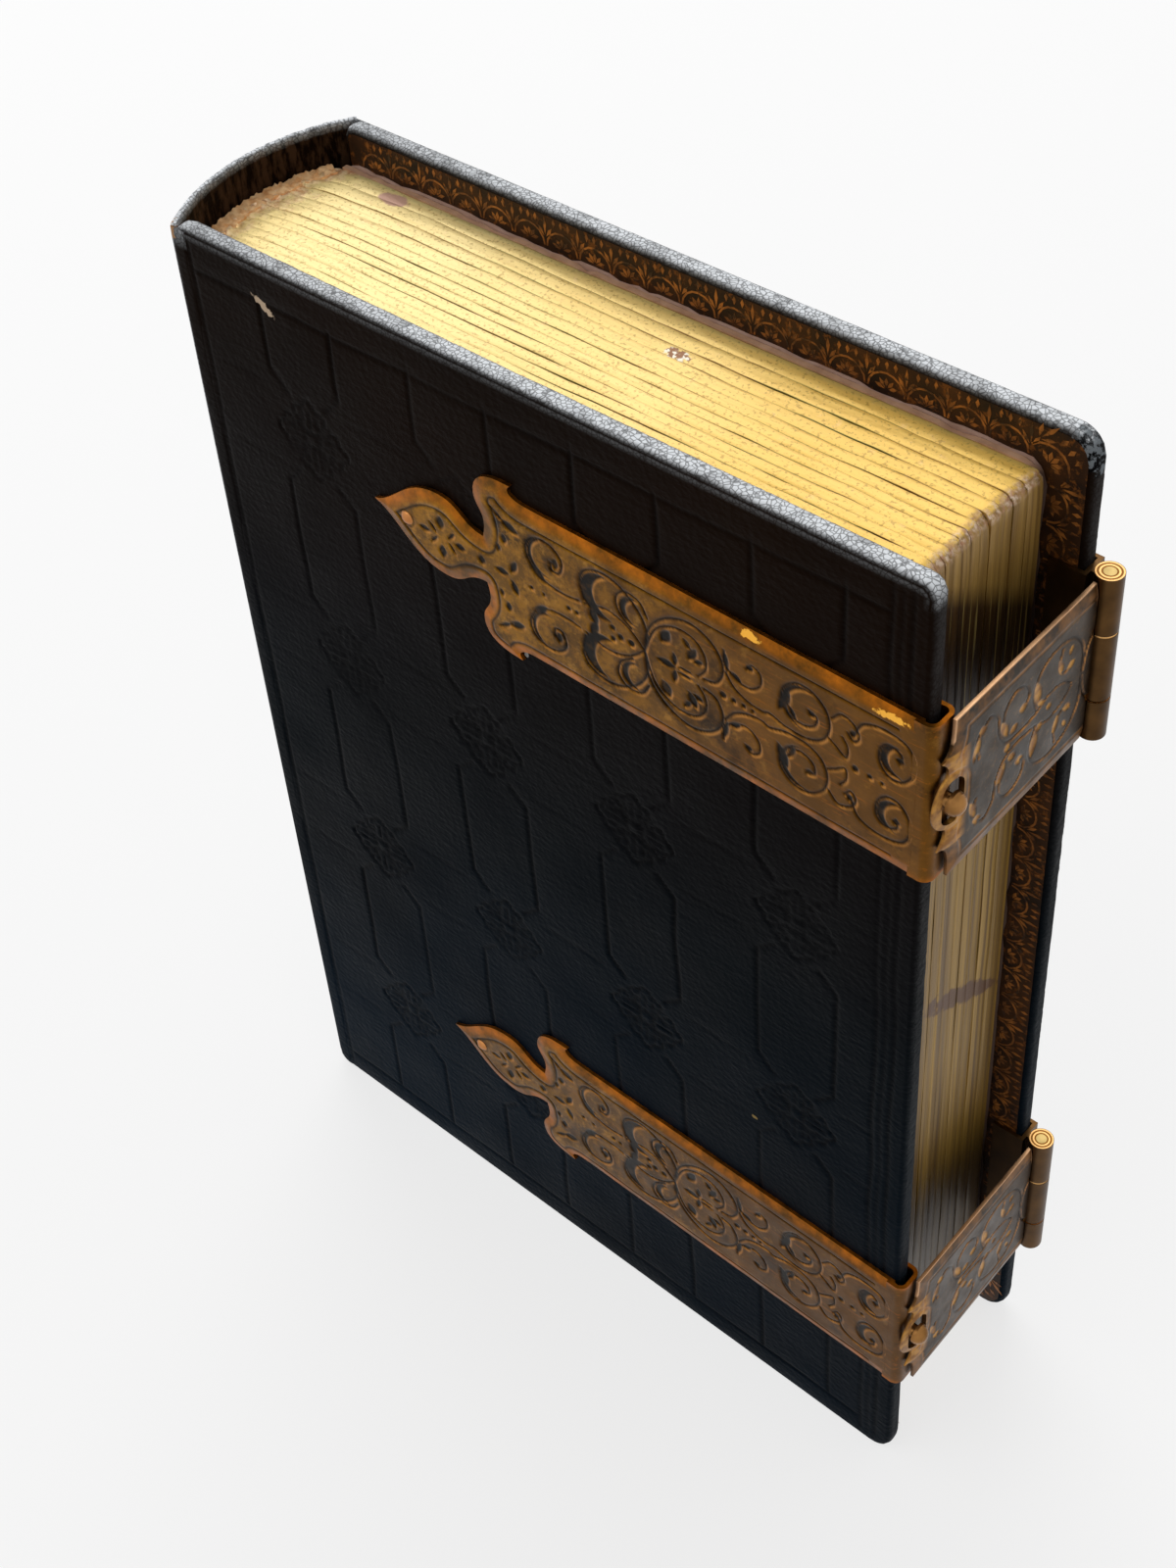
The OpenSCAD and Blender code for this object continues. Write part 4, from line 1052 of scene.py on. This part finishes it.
# Engraved lines on the front plate: points along each stem, and its half width
PLATE_STEMS = [
    ([(31.6, 2.0), (29.7, 1.7), (27.2, 1.9), (25.2, 3.0), (24.1, 5.0), (24.5, 6.8), (26.0, 7.8), (28.0, 7.6),
      (29.3, 6.2), (28.9, 4.4), (27.8, 4.3), (27.7, 5.4)], 0.27),
    ([(32.3, 2.6), (31.8, 5.0), (32.6, 6.9), (34.8, 7.8), (37.2, 7.4), (39.4, 5.9), (40.8, 3.8), (41.1, 1.8),
      (40.7, 0.0)], 0.30),
    ([(39.0, 2.2), (37.3, 3.6), (36.9, 5.6), (38.2, 7.0), (40.2, 6.6), (41.2, 4.9)], 0.26),
    ([(32.4, 2.1), (35.6, 2.9), (38.6, 2.0), (40.7, 0.0)], 0.23),
    ([(40.7, 0.0), (41.1, 2.9), (42.3, 5.1), (44.4, 6.8), (46.9, 7.5), (49.2, 6.8), (50.8, 5.2), (51.3, 3.2),
      (50.4, 1.2), (48.8, 0.7)], 0.29),
    ([(40.9, 0.6), (42.0, 3.6), (43.6, 5.2), (45.6, 5.9), (47.6, 5.5), (48.9, 4.0), (49.0, 2.2), (48.0, 0.7)], 0.22),
    ([(51.4, 6.4), (51.6, 4.6), (52.8, 3.3), (54.6, 2.9), (56.0, 4.0), (56.1, 5.6), (55.0, 6.3), (54.3, 5.5)], 0.24),
    ([(51.6, 3.4), (52.8, 1.8), (54.6, 0.9), (56.4, 0.7), (57.4, 1.0), (59.4, 0.4), (62.0, 0.4), (64.0, 1.5),
      (64.8, 3.6), (64.3, 5.7), (62.6, 7.2), (60.6, 7.3), (59.0, 5.9), (58.6, 4.2)], 0.27),
    ([(58.6, 4.2), (59.6, 2.6), (61.4, 2.0), (62.9, 2.7), (63.2, 4.0), (62.2, 4.5)], 0.25),
    ([(64.8, 2.2), (65.7, 1.6), (66.9, 0.8), (67.1, 2.2), (66.4, 3.4)], 0.22),
    ([(65.0, 5.2), (66.2, 6.4), (67.8, 5.8), (68.4, 4.5), (67.7, 3.6), (67.0, 4.4)], 0.23),
    ([(67.8, 4.6), (68.8, 6.7), (71.3, 7.5), (74.0, 6.9), (75.0, 5.1), (74.8, 3.2), (73.6, 1.6), (72.0, 1.5),
      (70.9, 2.9), (70.9, 4.8), (72.0, 5.8), (73.4, 5.2), (73.3, 4.0)], 0.28)]
# Filled leaves and buds: middle, half length, half width, turn in degrees
PLATE_LEAVES = [
    (10.9, 2.1, 1.05, 0.75, 90), (8.3, 0.0, 1.0, 0.5, 0), (13.8, 0.0, 0.95, 0.6, 0), (12.5, 0.9, 1.0, 0.3, 50),
    (9.7, 0.9, 1.0, 0.3, 130), (17.1, 0.0, 0.75, 0.7, 90), (20.2, 0.0, 1.2, 0.6, 0), (22.0, 1.5, 1.2, 0.6, 65),
    (20.0, 8.2, 1.3, 0.4, 145), (21.9, 7.2, 1.5, 0.7, 160), (20.8, 5.0, 0.8, 0.6, 90), (19.9, 3.3, 0.6, 0.4, 80),
    (25.7, 2.7, 1.7, 0.7, 140), (28.3, 5.4, 0.9, 0.6, 90), (33.6, 0.9, 1.5, 0.8, 110), (43.6, 3.8, 1.3, 0.9, 60),
    (43.7, 0.0, 1.5, 0.65, 0), (44.8, 1.2, 1.1, 0.5, 95), (46.3, 0.4, 1.2, 0.3, 0), (47.2, 3.3, 1.3, 0.7, 60),
    (46.5, 4.4, 0.9, 0.45, 130), (48.0, 2.6, 0.8, 0.45, 20), (51.6, 5.0, 1.6, 0.5, 100), (53.0, 3.5, 0.9, 0.45, 150),
    (54.7, 5.8, 0.6, 0.5, 0), (59.1, 3.9, 1.9, 0.8, 65), (60.2, 2.9, 1.1, 0.4, 120), (62.6, 4.2, 0.6, 0.45, 0),
    (67.6, 4.6, 0.5, 0.6, 0), (73.3, 4.4, 0.6, 0.5, 0)]
PLATE_DOTS = [(24.6, 0.0, 0.3), (26.4, 0.0, 0.25), (30.0, 0.0, 0.35), (31.2, 0.0, 0.3), (36.3, 0.8, 0.38),
              (37.4, 0.0, 0.42), (38.9, 0.0, 0.46), (51.3, 0.0, 0.45), (52.7, 0.0, 0.36), (54.0, 0.0, 0.3),
              (55.2, 0.0, 0.25), (68.1, 0.0, 0.42), (69.9, 0.0, 0.33), (71.4, 0.0, 0.26)]
# Dark stains on the plate, also where the engraving isn't: middle, half length, half width, turn
PLATE_STAINS = [(21.4, 6.6, 2.4, 1.8, 150), (21.6, -6.2, 1.8, 1.2, 60), (33.6, 2.4, 1.8, 3.0, 0),
                (38.4, 5.4, 2.0, 1.4, 0), (44.2, 4.2, 2.0, 1.4, 40), (48.6, -4.6, 2.8, 1.7, -45),
                (57.2, -6.0, 2.6, 0.55, -65), (28.4, -4.8, 1.6, 1.2, 0)]
# Dark crescents: middle and radius of a disc, then shift and radius of the disc cut out of it
PLATE_MOONS = [(34.9, 4.3, 3.2, 1.7, 0.2, 2.9), (39.2, 4.7, 2.0, 0.9, -0.1, 1.75), (72.9, 3.9, 2.15, 0.9, 0.1, 1.85),
               (61.6, 4.3, 3.0, 0.7, -0.2, 2.75), (26.8, 5.3, 2.6, 0.6, 0.1, 2.4),
               (5.5, 0.0, 1.25, 0.0, 0.0, 0.95)]

STRAP_STEMS = [
    ([(5.9, 6.6), (5.0, 5.0), (5.6, 2.9)], 0.32),
    ([(6.2, 6.5), (7.4, 7.2), (8.8, 5.8), (9.2, 3.2), (10.6, 1.1), (13.0, 0.6), (16.0, 0.9)], 0.23),
    ([(10.0, 2.9), (9.9, 5.6), (11.6, 7.2), (13.6, 6.6), (14.4, 4.8), (13.4, 3.5)], 0.24),
    ([(16.2, 1.0), (15.4, 3.8), (16.4, 6.4), (19.2, 7.5), (22.6, 6.6), (24.6, 4.0), (24.9, 0.4)], 0.26),
    ([(20.4, 6.6), (20.0, 4.2), (21.2, 2.8), (22.7, 3.2)], 0.23),
    ([(16.0, 0.9), (18.6, 1.9), (21.2, 1.4), (22.8, 0.2)], 0.19),
    ([(24.9, 0.4), (25.6, 3.4), (27.2, 5.2)], 0.22)]
STRAP_LEAVES = [
    (6.1, 6.3, 0.75, 0.65, 0), (5.2, 4.2, 1.6, 0.6, 70), (10.2, 3.2, 1.6, 0.65, 115), (12.0, 2.0, 0.8, 0.6, 20),
    (13.5, 3.7, 0.8, 0.65, 0), (16.2, 3.6, 1.9, 0.75, 100), (17.0, 1.7, 0.9, 0.5, 150), (20.4, 4.0, 1.4, 0.55, 105),
    (22.4, 3.0, 0.85, 0.6, 15), (22.2, 5.2, 0.7, 0.4, 60), (26.9, 5.0, 1.0, 0.5, 40), (27.3, 0.9, 0.9, 0.45, 60)]
STRAP_DOTS = [(28.3, 0.0, 0.4), (18.6, 0.0, 0.4), (11.0, 0.0, 0.5)]


def engraving(s, t, stems, leaf_list, dots, spread=1.0, moons=()):
    """How deeply each point is engraved, from 0 to 1, the same above and below the centre line."""
    t = np.abs(t)
    depth = np.zeros(np.shape(s))
    for stem, width in stems:
        line = flowing(stem)
        low = line.min(0) - 1
        high = line.max(0) + 1
        near = (s > low[0]) & (s < high[0]) & (t > low[1]) & (t < high[1])
        if not near.any():
            continue
        gap = edge_distance(s[near], t[near], line, closed=False)
        depth[near] = np.maximum(depth[near], np.clip(1.15 - gap / width / spread * 1.1, 0, 1))
    for cs, ct, length, width, turn in leaf_list:
        a = math.radians(turn)
        u = ((s - cs) * math.cos(a) + (t - ct) * math.sin(a)) / length
        v = (-(s - cs) * math.sin(a) + (t - ct) * math.cos(a)) / width
        body = np.abs(v) - (1 - np.minimum(u * u, 1.0))
        depth = np.maximum(depth, np.where(np.abs(u) < 1, np.clip(-body * 2.5, 0, 1), 0))
    for cs, ct, r in dots:
        depth = np.maximum(depth, np.clip((r - np.hypot(s - cs, t - ct)) / 0.15 + 0.5, 0, 1))
    for cs, ct, r, ds, dt, cut in moons:
        disc = np.clip((r - np.hypot(s - cs, t - ct)) / 0.2, 0, 1)
        depth = np.maximum(depth, disc * np.clip((np.hypot(s - cs - ds, t - ct - dt) - cut) / 0.25, 0, 1))
    return depth


def triangles(rings, inner):
    """Corners and triangles of the flat area inside the first ring and outside the others."""
    edges = []
    start = 0
    for ring in rings:
        edges += [(start + i, start + (i + 1) % len(ring)) for i in range(len(ring))]
        start += len(ring)
    flat = np.vstack(rings + ([inner] if inner is not None else []))
    result = delaunay_2d_cdt([Vector(p) for p in flat.tolist()], edges, [], 0, 1e-7)
    verts = np.array([tuple(v) for v in result[0]])
    tris = np.array(result[2])
    middle = verts[tris].mean(1)
    good = inside_line(middle[:, 0], middle[:, 1], rings[0])
    for ring in rings[1:]:
        good &= ~inside_line(middle[:, 0], middle[:, 1], ring)
    return verts, tris[good]


def sheet_mesh(outline, hole, step, height):
    """Flat piece with an outline, a hole and a face whose height is given at each point, on a flat back."""
    outline = np.asarray(outline, float)
    rings = [outline] + ([np.asarray(hole, float)] if hole is not None else [])
    low = outline.min(0)
    high = outline.max(0)
    gx, gy = np.meshgrid(np.arange(low[0], high[0], step), np.arange(low[1], high[1], step))
    gx = gx.ravel()
    gy = gy.ravel()
    keep = inside_line(gx, gy, outline) & (edge_distance(gx, gy, outline) > step * 0.45)
    if hole is not None:
        keep &= ~inside_line(gx, gy, hole) & (edge_distance(gx, gy, hole) > step * 0.45)
    verts, tris = triangles(rings, np.stack([gx[keep], gy[keep]], 1))
    far = edge_distance(verts[:, 0], verts[:, 1], outline)
    if hole is not None:
        far = np.minimum(far, edge_distance(verts[:, 0], verts[:, 1], hole))
    top = height(verts[:, 0], verts[:, 1], far)
    rim = np.vstack(rings)
    count = len(verts)
    gaps = np.hypot(rim[:, None, 0] - verts[None, :, 0], rim[:, None, 1] - verts[None, :, 1])
    above = gaps.argmin(1)
    faces = tris.tolist()
    start = 0
    for ring in rings:
        for i in range(len(ring)):
            a = start + i
            b = start + (i + 1) % len(ring)
            faces.append([int(above[b]), int(above[a]), count + a, count + b])
        start += len(ring)
    back_verts, back_tris = triangles(rings, None)
    order = np.hypot(back_verts[:, None, 0] - rim[None, :, 0], back_verts[:, None, 1] - rim[None, :, 1]).argmin(1)
    faces += (count + order[back_tris[:, ::-1]]).tolist()
    flat_all = np.vstack([verts, rim])
    heights = np.concatenate([top, np.zeros(len(rim))])
    far_all = np.concatenate([far, np.zeros(len(rim))])
    return flat_all, heights, far_all, faces


def askew(points, z):
    """Turns what lies on the front cover askew about the clasp's fore-edge end at height z."""
    a = math.radians(PLATE_TILT)
    x = points[:, 0] - BOARD_W
    up = points[:, 2] - z
    return np.stack([BOARD_W + x * math.cos(a) + up * math.sin(a), points[:, 1],
                     z - x * math.sin(a) + up * math.cos(a)], 1)


def border_line(outer, s, t):
    """Strength of the line engraved along the plate's two long sides and round its leaf."""
    inset = 1.95 + 0.05 * t
    width = np.where(s < 26, 0.2, 0.13)
    return np.exp(-((outer - inset) / width) ** 2) * (s < PLATE_END - 2.4)


def front_plate(which):
    """Engraved front plate of a clasp with its rim, its leaf end and its folded lip."""
    z = CLASP_Z[which]
    outline = np.array(plate_outline())

    def parts(s, t):
        outer = edge_distance(s, t, outline)
        open_end = np.minimum(outer + 9 * (s > PLATE_END - 3), CLASP_W / 2 - np.abs(t))
        outer = np.where(s > 30, open_end, outer)
        cut = engraving(s, t, PLATE_STEMS, PLATE_LEAVES, PLATE_DOTS, 1.0, PLATE_MOONS)
        return outer, border_line(outer, s, t), cut

    def height(s, t, far):
        outer, line, cut = parts(s, t)
        bevel = np.clip(outer / 1.5, 0, 1)
        field = PLATE_T - 0.34 + 0.34 * bevel ** 0.8
        dents = 0.02 * lumps(s / 3, t / 3, 61)
        return np.minimum(field - 0.12 * line - 0.14 * cut + dents, PLATE_T)
    flat, heights, far, faces = sheet_mesh(outline, None, 0.18, height)
    s = flat[:, 0]
    t = flat[:, 1]
    outer, line, cut = parts(s, t)
    points = askew(np.stack([BOARD_W - PLATE_LEN + s, -heights, z + t], 1), z)
    near = engraving(s, t, PLATE_STEMS, [], [], 3.6)
    for cs, ct, length, width, turn in PLATE_STAINS:
        a = math.radians(turn)
        u = ((s - cs) * math.cos(a) + (t - ct) * math.sin(a)) / length
        v = ((t - ct) * math.cos(a) - (s - cs) * math.sin(a)) / width
        near = np.maximum(near, np.clip(2 - 1.6 * np.hypot(u, v), 0, 1))
    moved = engraving(s - 0.22, t + 0.22, PLATE_STEMS, PLATE_LEAVES, PLATE_DOTS, 1.0, PLATE_MOONS)
    marks = {"ink": np.clip(np.maximum(cut, line), 0, 1), "rim": np.clip(1.5 - outer / 1.25, 0, 1) * 0.9,
             "near": near * np.clip((60 - s) / 16, 0.35, 1), "glint": np.clip(moved - 1.4 * cut, 0, 1)}
    face = build(which + "_plate_face", points, faces, [PLATE_BRASS], "front_cover", marks, 45)
    lip = plate_lip(which, z)
    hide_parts(which + "_front_plate")
    return face, lip


def plate_lip(which, z):
    """Lip of the front plate, folded round the fore-edge, rolled out and curled in behind."""
    half = CLASP_W / 2
    out = [(-1.2, -PLATE_T + 0.02)]
    out += [(p[0], p[1]) for p in arc(0, LIP_REACH - PLATE_T, LIP_REACH, -90, 0, 10)]
    out += [(p[0], p[1]) for p in arc(LIP_REACH - 1.1, COVER_T + SHEET_T - 1.1, 1.1, 0, 90, 8)]
    out += [(-1.0, COVER_T + SHEET_T)]
    inner = [(-1.0, COVER_T)]
    inner += [(p[0], p[1]) for p in arc(LIP_REACH - 1.1, COVER_T + SHEET_T - 1.1, 0.6, 90, 0, 8)]
    inner += [(p[0], p[1]) for p in arc(0, LIP_REACH - PLATE_T, LIP_REACH - SHEET_T, 0, -90, 10)]
    inner += [(-1.2, -0.1)]
    ring = [(BOARD_W + x, y) for x, y in out + inner]
    zs = np.concatenate([[z - half], np.linspace(z - half + 0.12, z + half - 0.12, 40), [z + half]])
    points = []
    for level in zs:
        for x, y in ring:
            points.append((x + 0.02 * float(lumps(level / 3, y, 71)), y, level))
    rows = len(zs)
    columns = len(ring)
    index = np.arange(rows * columns).reshape(rows, columns)
    index = np.hstack([index, index[:, :1]])
    faces = np.stack([index[:-1, :-1].ravel(), index[1:, :-1].ravel(),
                      index[1:, 1:].ravel(), index[:-1, 1:].ravel()], 1).tolist()
    faces.append(list(range(columns)))
    faces.append(list(range((rows - 1) * columns, rows * columns)))
    points = np.array(points)
    rim = np.clip(1 - (half - np.abs(points[:, 2] - z)) / 0.8, 0, 1)
    marks = {"ink": np.zeros(len(points)), "rim": rim}
    piece = build(which + "_plate_lip", points, faces, [PLATE_BRASS], "front_cover", marks, 40)
    return piece


def strap_outline():
    """Strap in distance behind the front face and height above its centre line."""
    w = CLASP_W / 2
    bulge_y = SLOT_Y + 0.9
    half = arc(bulge_y, 0, 4.0, 180, 116, 14)
    half += curve(half[-1], [half[-1][0] + 0.5, 4.6], [0.6, 5.6], [-0.2, 6.2], 6)
    half += curve([-0.2, 6.2], [1.6, 6.2], [1.6, 8.6], [1.6, w], 12)
    half += [[y, w] for y in np.linspace(2.6, 26.3, 22)]
    end = [[STRAP_END, t] for t in np.linspace(w, KNUCKLE[1], 10)]
    end += [[HINGE_Y, t] for t in np.linspace(KNUCKLE[1], KNUCKLE[0], 8)]
    end += [[STRAP_END, t] for t in np.linspace(KNUCKLE[0], -w, 8)]
    return half + end + [[y, -t] for y, t in half[:0:-1]]


def strap(which):
    """Engraved strap with its slot, and its knuckle rolled round the hinge pin."""
    z = CLASP_Z[which]
    hole = np.array(arc(SLOT_Y, SLOT_RISE, SLOT_R, 0, 180, 12) + arc(SLOT_Y, -SLOT_RISE, SLOT_R, 180, 360, 12))
    outline = np.array(strap_outline())

    def parts(y, t):
        outer = edge_distance(y, t, outline)
        outer = np.where(y > 20, np.minimum(CLASP_W / 2 - np.abs(t), outer + 9), outer)
        line = np.exp(-((outer - 1.9) / 0.15) ** 2)
        ring = np.exp(-((edge_distance(y, t, hole) - 0.9) / 0.16) ** 2) * (y > 1)
        cut = engraving(y, t, STRAP_STEMS, STRAP_LEAVES, STRAP_DOTS)
        return outer, np.maximum(line, ring), cut

    def height(y, t, far):
        outer, line, cut = parts(y, t)
        bevel = np.clip(outer / 1.6, 0, 1)
        field = STRAP_T - 0.30 + 0.30 * bevel ** 0.8
        sag = 0.10 * np.clip(1.5 - y, 0, 2)
        return np.clip(field - 0.10 * line - 0.13 * cut - sag, 0.2, STRAP_T)
    flat, heights, far, faces = sheet_mesh(outline, hole, 0.2, height)
    y = flat[:, 0]
    t = flat[:, 1]
    outer, line, cut = parts(y, t)
    points = np.stack([STRAP_X + heights, y, z + t], 1)
    leaf = engraving(y, t, [], STRAP_LEAVES, STRAP_DOTS)
    moved = engraving(y - 0.2, t + 0.2, STRAP_STEMS, [], [])
    front_end = np.clip((4.2 - y) / 1.2, 0, 1) * (np.abs(t) < 6.5)
    seen = np.where(heights > 0, 1.0, 0.3)
    marks = {"rim": np.clip(np.maximum(2.2 - outer / 0.9, front_end), 0, 1) * seen,
             "gold": np.clip(np.maximum(0.95 * leaf, 0.8 * front_end), 0, 1) * seen,
             "glint": np.clip(np.maximum(moved - 1.3 * cut, 0.7 * line), 0, 1) * seen,
             "ink": np.clip(engraving(y, t, STRAP_STEMS, [], [], 1.5) - leaf, 0, 1) * 0.8,
             # Painted highlight along the strap's upper edge.
             "painted_highlight": np.clip(1 - far / 0.2, 0, 1) * (t > 8) * 0.9 * seen}
    piece = build(which + "_strap_face", points, faces, [STRAP_BRASS], which + "_strap", marks, 45)
    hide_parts(which + "_strap")

    low = z + KNUCKLE[0]
    top = z + KNUCKLE[1]
    profile = [(0.75, low), (BARREL_R - 0.15, low), (BARREL_R, low + 0.15), (BARREL_R, top - 0.15),
               (BARREL_R - 0.15, top), (0.75, top)]
    turns = np.radians(np.arange(0, 360, 9))
    points = [(HINGE_X + r * math.cos(a), HINGE_Y + r * math.sin(a), level) for a in turns for r, level in profile]
    index = np.arange(len(points)).reshape(len(turns), len(profile))
    index = np.vstack([index, index[:1]])
    index = np.hstack([index, index[:, :1]])
    faces = np.stack([index[:-1, :-1].ravel(), index[1:, :-1].ravel(),
                      index[1:, 1:].ravel(), index[:-1, 1:].ravel()], 1).tolist()
    knuckle = build(which + "_strap_knuckle", points, faces, [HINGE_BRASS], which + "_strap", None, 40)


# Tooled border and papers inside the covers

SCALLOP = 5.0


def scallop_mesh():
    """One repeat of the tooled border: an arch with a palmette under it and a sprig beside it."""
    points = []
    faces = []
    for i in range(9):
        a = math.pi * i / 8
        for r in (2.45, 2.2):
            points.append((r * math.cos(a), r * math.sin(a), 0))
    faces += [(2 * i, 2 * i + 2, 2 * i + 3, 2 * i + 1) for i in range(8)]
    petals_at = [(0.0, 0.25, turn, 1.5, 0.26) for turn in (18, 54, 90, 126, 162)]
    petals_at += [(2.5, 1.0, turn, reach, 0.24) for turn, reach in ((90, 2.9), (56, 1.9), (124, 1.9))]
    petals_at += [(x, 2.6, 90, 1.3, 0.26) for x in (0.0, 1.1, -1.1)]
    for x, y, turn, reach, half in petals_at:
        a = math.radians(turn)
        along = (math.cos(a), math.sin(a))
        start = len(points)
        for share, side in ((0.15, 0), (0.62, -1), (1.0, 0), (0.62, 1)):
            points.append((x + along[0] * reach * share - along[1] * half * side,
                           y + along[1] * reach * share + along[0] * half * side, 0))
        faces.append((start, start + 1, start + 2, start + 3))
    mesh = bpy.data.meshes.new("scallop")
    mesh.from_pydata(points, [], faces)
    return mesh


def border_tree():
    """Node tree that sets a motif in a row at even distances and raises it off the leather."""
    tree = bpy.data.node_groups.new("tooled border", "GeometryNodeTree")
    face = tree.interface
    face.new_socket("Geometry", in_out="INPUT", socket_type="NodeSocketGeometry")
    face.new_socket("Pitch", in_out="INPUT", socket_type="NodeSocketFloat")
    face.new_socket("Count", in_out="INPUT", socket_type="NodeSocketInt")
    face.new_socket("Rise", in_out="INPUT", socket_type="NodeSocketFloat")
    face.new_socket("Gold", in_out="INPUT", socket_type="NodeSocketMaterial")
    face.new_socket("Geometry", in_out="OUTPUT", socket_type="NodeSocketGeometry")
    n = tree.nodes
    link = tree.links.new
    start = n.new("NodeGroupInput")
    stop = n.new("NodeGroupOutput")
    step = n.new("ShaderNodeCombineXYZ")
    link(start.outputs["Pitch"], step.inputs["X"])
    row = n.new("GeometryNodeMeshLine")
    link(start.outputs["Count"], row.inputs["Count"])
    link(step.outputs[0], row.inputs["Offset"])
    instance = n.new("GeometryNodeInstanceOnPoints")
    link(row.outputs["Mesh"], instance.inputs["Points"])
    link(start.outputs["Geometry"], instance.inputs["Instance"])
    real = n.new("GeometryNodeRealizeInstances")
    link(instance.outputs[0], real.inputs[0])
    raised = n.new("GeometryNodeExtrudeMesh")
    raised.inputs["Individual"].default_value = False
    link(real.outputs[0], raised.inputs["Mesh"])
    link(start.outputs["Rise"], raised.inputs["Offset Scale"])
    whole = n.new("GeometryNodeJoinGeometry")
    link(real.outputs[0], whole.inputs[0])
    link(raised.outputs["Mesh"], whole.inputs[0])
    paint = n.new("GeometryNodeSetMaterial")
    link(whole.outputs[0], paint.inputs["Geometry"])
    link(start.outputs["Gold"], paint.inputs["Material"])
    link(paint.outputs[0], stop.inputs["Geometry"])
    return tree


def gold_border(name, node_body, back, tree):
    """Gold scallops along the head, the fore-edge and the tail of a cover's turned-in leather."""
    rows = []
    base_in = TURN_IN_W - 0.35
    for count, start, place in (
            (19, 5.6, lambda u, v: (u, BOARD_H - base_in + v)),
            (19, 5.6, lambda u, v: (u, base_in - v)),
            (28, 10.0, lambda u, v: (BOARD_W - base_in + v, u)),
            (1, 0.0, lambda u, v: (BOARD_W - 5.4 + 0.8 * (v - u), BOARD_H - 5.4 + 0.8 * (v + u))),
            (1, 0.0, lambda u, v: (BOARD_W - 5.4 + 0.8 * (v + u), 5.4 - 0.8 * (v - u)))):
        mesh = grown("border row", scallop_mesh(), tree,
                     {"Pitch": SCALLOP, "Count": count, "Rise": 0.05, "Gold": BORDER_GOLD})
        co = mesh_points(mesh)
        x, z = place(co[:, 0] + start, co[:, 1])
        rows.append((np.stack([x, COVER_T - 0.01 + co[:, 2], z], 1), [tuple(p.vertices) for p in mesh.polygons]))
    points = []
    faces = []
    for co, polygons in rows:
        faces += [tuple(v + len(points) for v in polygon) for polygon in polygons]
        points += co.tolist()
    points = np.array(points)
    if back:
        points[:, 1] = ALBUM_T - points[:, 1]
    piece = build(name, points, faces, [BORDER_GOLD], node_body, None, 30, True)


def paper(name, node, finish, body, low, high, ragged, seed):
    """Sheet of card or paper between two corners, with worn wavy edges and rounded corners."""
    xs = np.linspace(0, 1, 70)
    zs = np.linspace(0, 1, 60)
    gx, gz = np.meshgrid(low[0] + (high[0] - low[0]) * xs, low[2] + (high[2] - low[2]) * zs)
    fx, fz = rounded_corner(gx, gz, low[0], high[0], low[2], high[2], 0.6, 2.2)
    near_head = np.clip(1 - np.minimum(gz - low[2], high[2] - gz) / 4, 0, 1)
    near_fore = np.clip(1 - (high[0] - gx) / 4, 0, 1)
    waver = np.minimum(0, lumps(gx / 2.2, gz / 9, seed) + 0.6 * lumps(gx / 0.9, gz / 5, seed + 1))
    fz = fz + np.sign(gz - BOARD_H / 2) * near_head * ragged * waver
    fx = fx + near_fore * ragged * np.minimum(0, lumps(gz / 2.4, gx / 9, seed + 2))
    rows, columns = gx.shape
    count = rows * columns
    middle = (low[1] + high[1]) / 2
    half = (high[1] - low[1]) / 2
    front = np.stack([fx, np.full_like(fx, middle - half), fz], -1).reshape(-1, 3)
    rear = np.stack([fx, np.full_like(fx, middle + half), fz], -1).reshape(-1, 3)
    quads = grid_quads(rows, columns)
    faces = quads + [[v + count for v in quad[::-1]] for quad in quads]
    index = np.arange(count).reshape(rows, columns)
    loop = np.concatenate([index[0, :-1], index[:-1, -1], index[-1, :0:-1], index[:0:-1, 0]])
    faces += np.stack([loop, np.roll(loop, -1), np.roll(loop, -1) + count, loop + count], 1).tolist()
    piece = build(name, np.vstack([front, rear]), faces, [finish], body, None, 40)
    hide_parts(node)


def papers():
    """Flyleaves beside the card leaves and linings inside the covers."""
    inner = TURN_IN_W - 0.1
    for end, back in (("front", False), ("back", True)):
        fly = (26.12, 26.85) if back else (3.15, 3.88)
        lining = (26.95, 27.45) if back else (2.55, 3.05)
        paper(end + "_flyleaf_sheet", end + "_flyleaf", FLY, "book_block",
              (0.6, fly[0], 5.0), (BLOCK_X - 0.2, fly[1], 150.0), 0.5, 81)
        paper(end + "_lining_sheet", end + "_pastedown", PASTE, end + "_cover",
              (1.0, lining[0], inner), (BOARD_W - inner - 0.2, lining[1], BOARD_H - inner + 0.1), 0.6, 91)


def build_all():
    stage()
    cover_skin("front_cover_leather", "front_leather", "front_cover", False)
    cover_skin("back_cover_leather", "back_leather", "back_cover", True)
    tree = border_tree()
    gold_border("front_gold_border", "front_cover", False, tree)
    gold_border("back_gold_border", "back_cover", True, tree)
    papers()
    spine_skin()
    joint_strip("front_joint_leather", False)
    joint_strip("back_joint_leather", True)
    spine_paper()
    leaves()
    for which in ("upper", "lower"):
        front_plate(which)
        strap(which)
    for node, material in (
            ("front_board", BOARD), ("back_board", BOARD), ("upper_hinge_plate", HINGE_BRASS),
            ("lower_hinge_plate", HINGE_BRASS), ("upper_hinge_pin", PIN_METAL), ("lower_hinge_pin", PIN_METAL),
            ("upper_hinge_tacks", STUD_BRASS), ("lower_hinge_tacks", STUD_BRASS), ("upper_stud", STUD_BRASS),
            ("lower_stud", STUD_BRASS), ("upper_plate_tack", TACK_COPPER), ("lower_plate_tack", TACK_COPPER)):
        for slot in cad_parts[node].material_slots:
            slot.material = material


build_all()
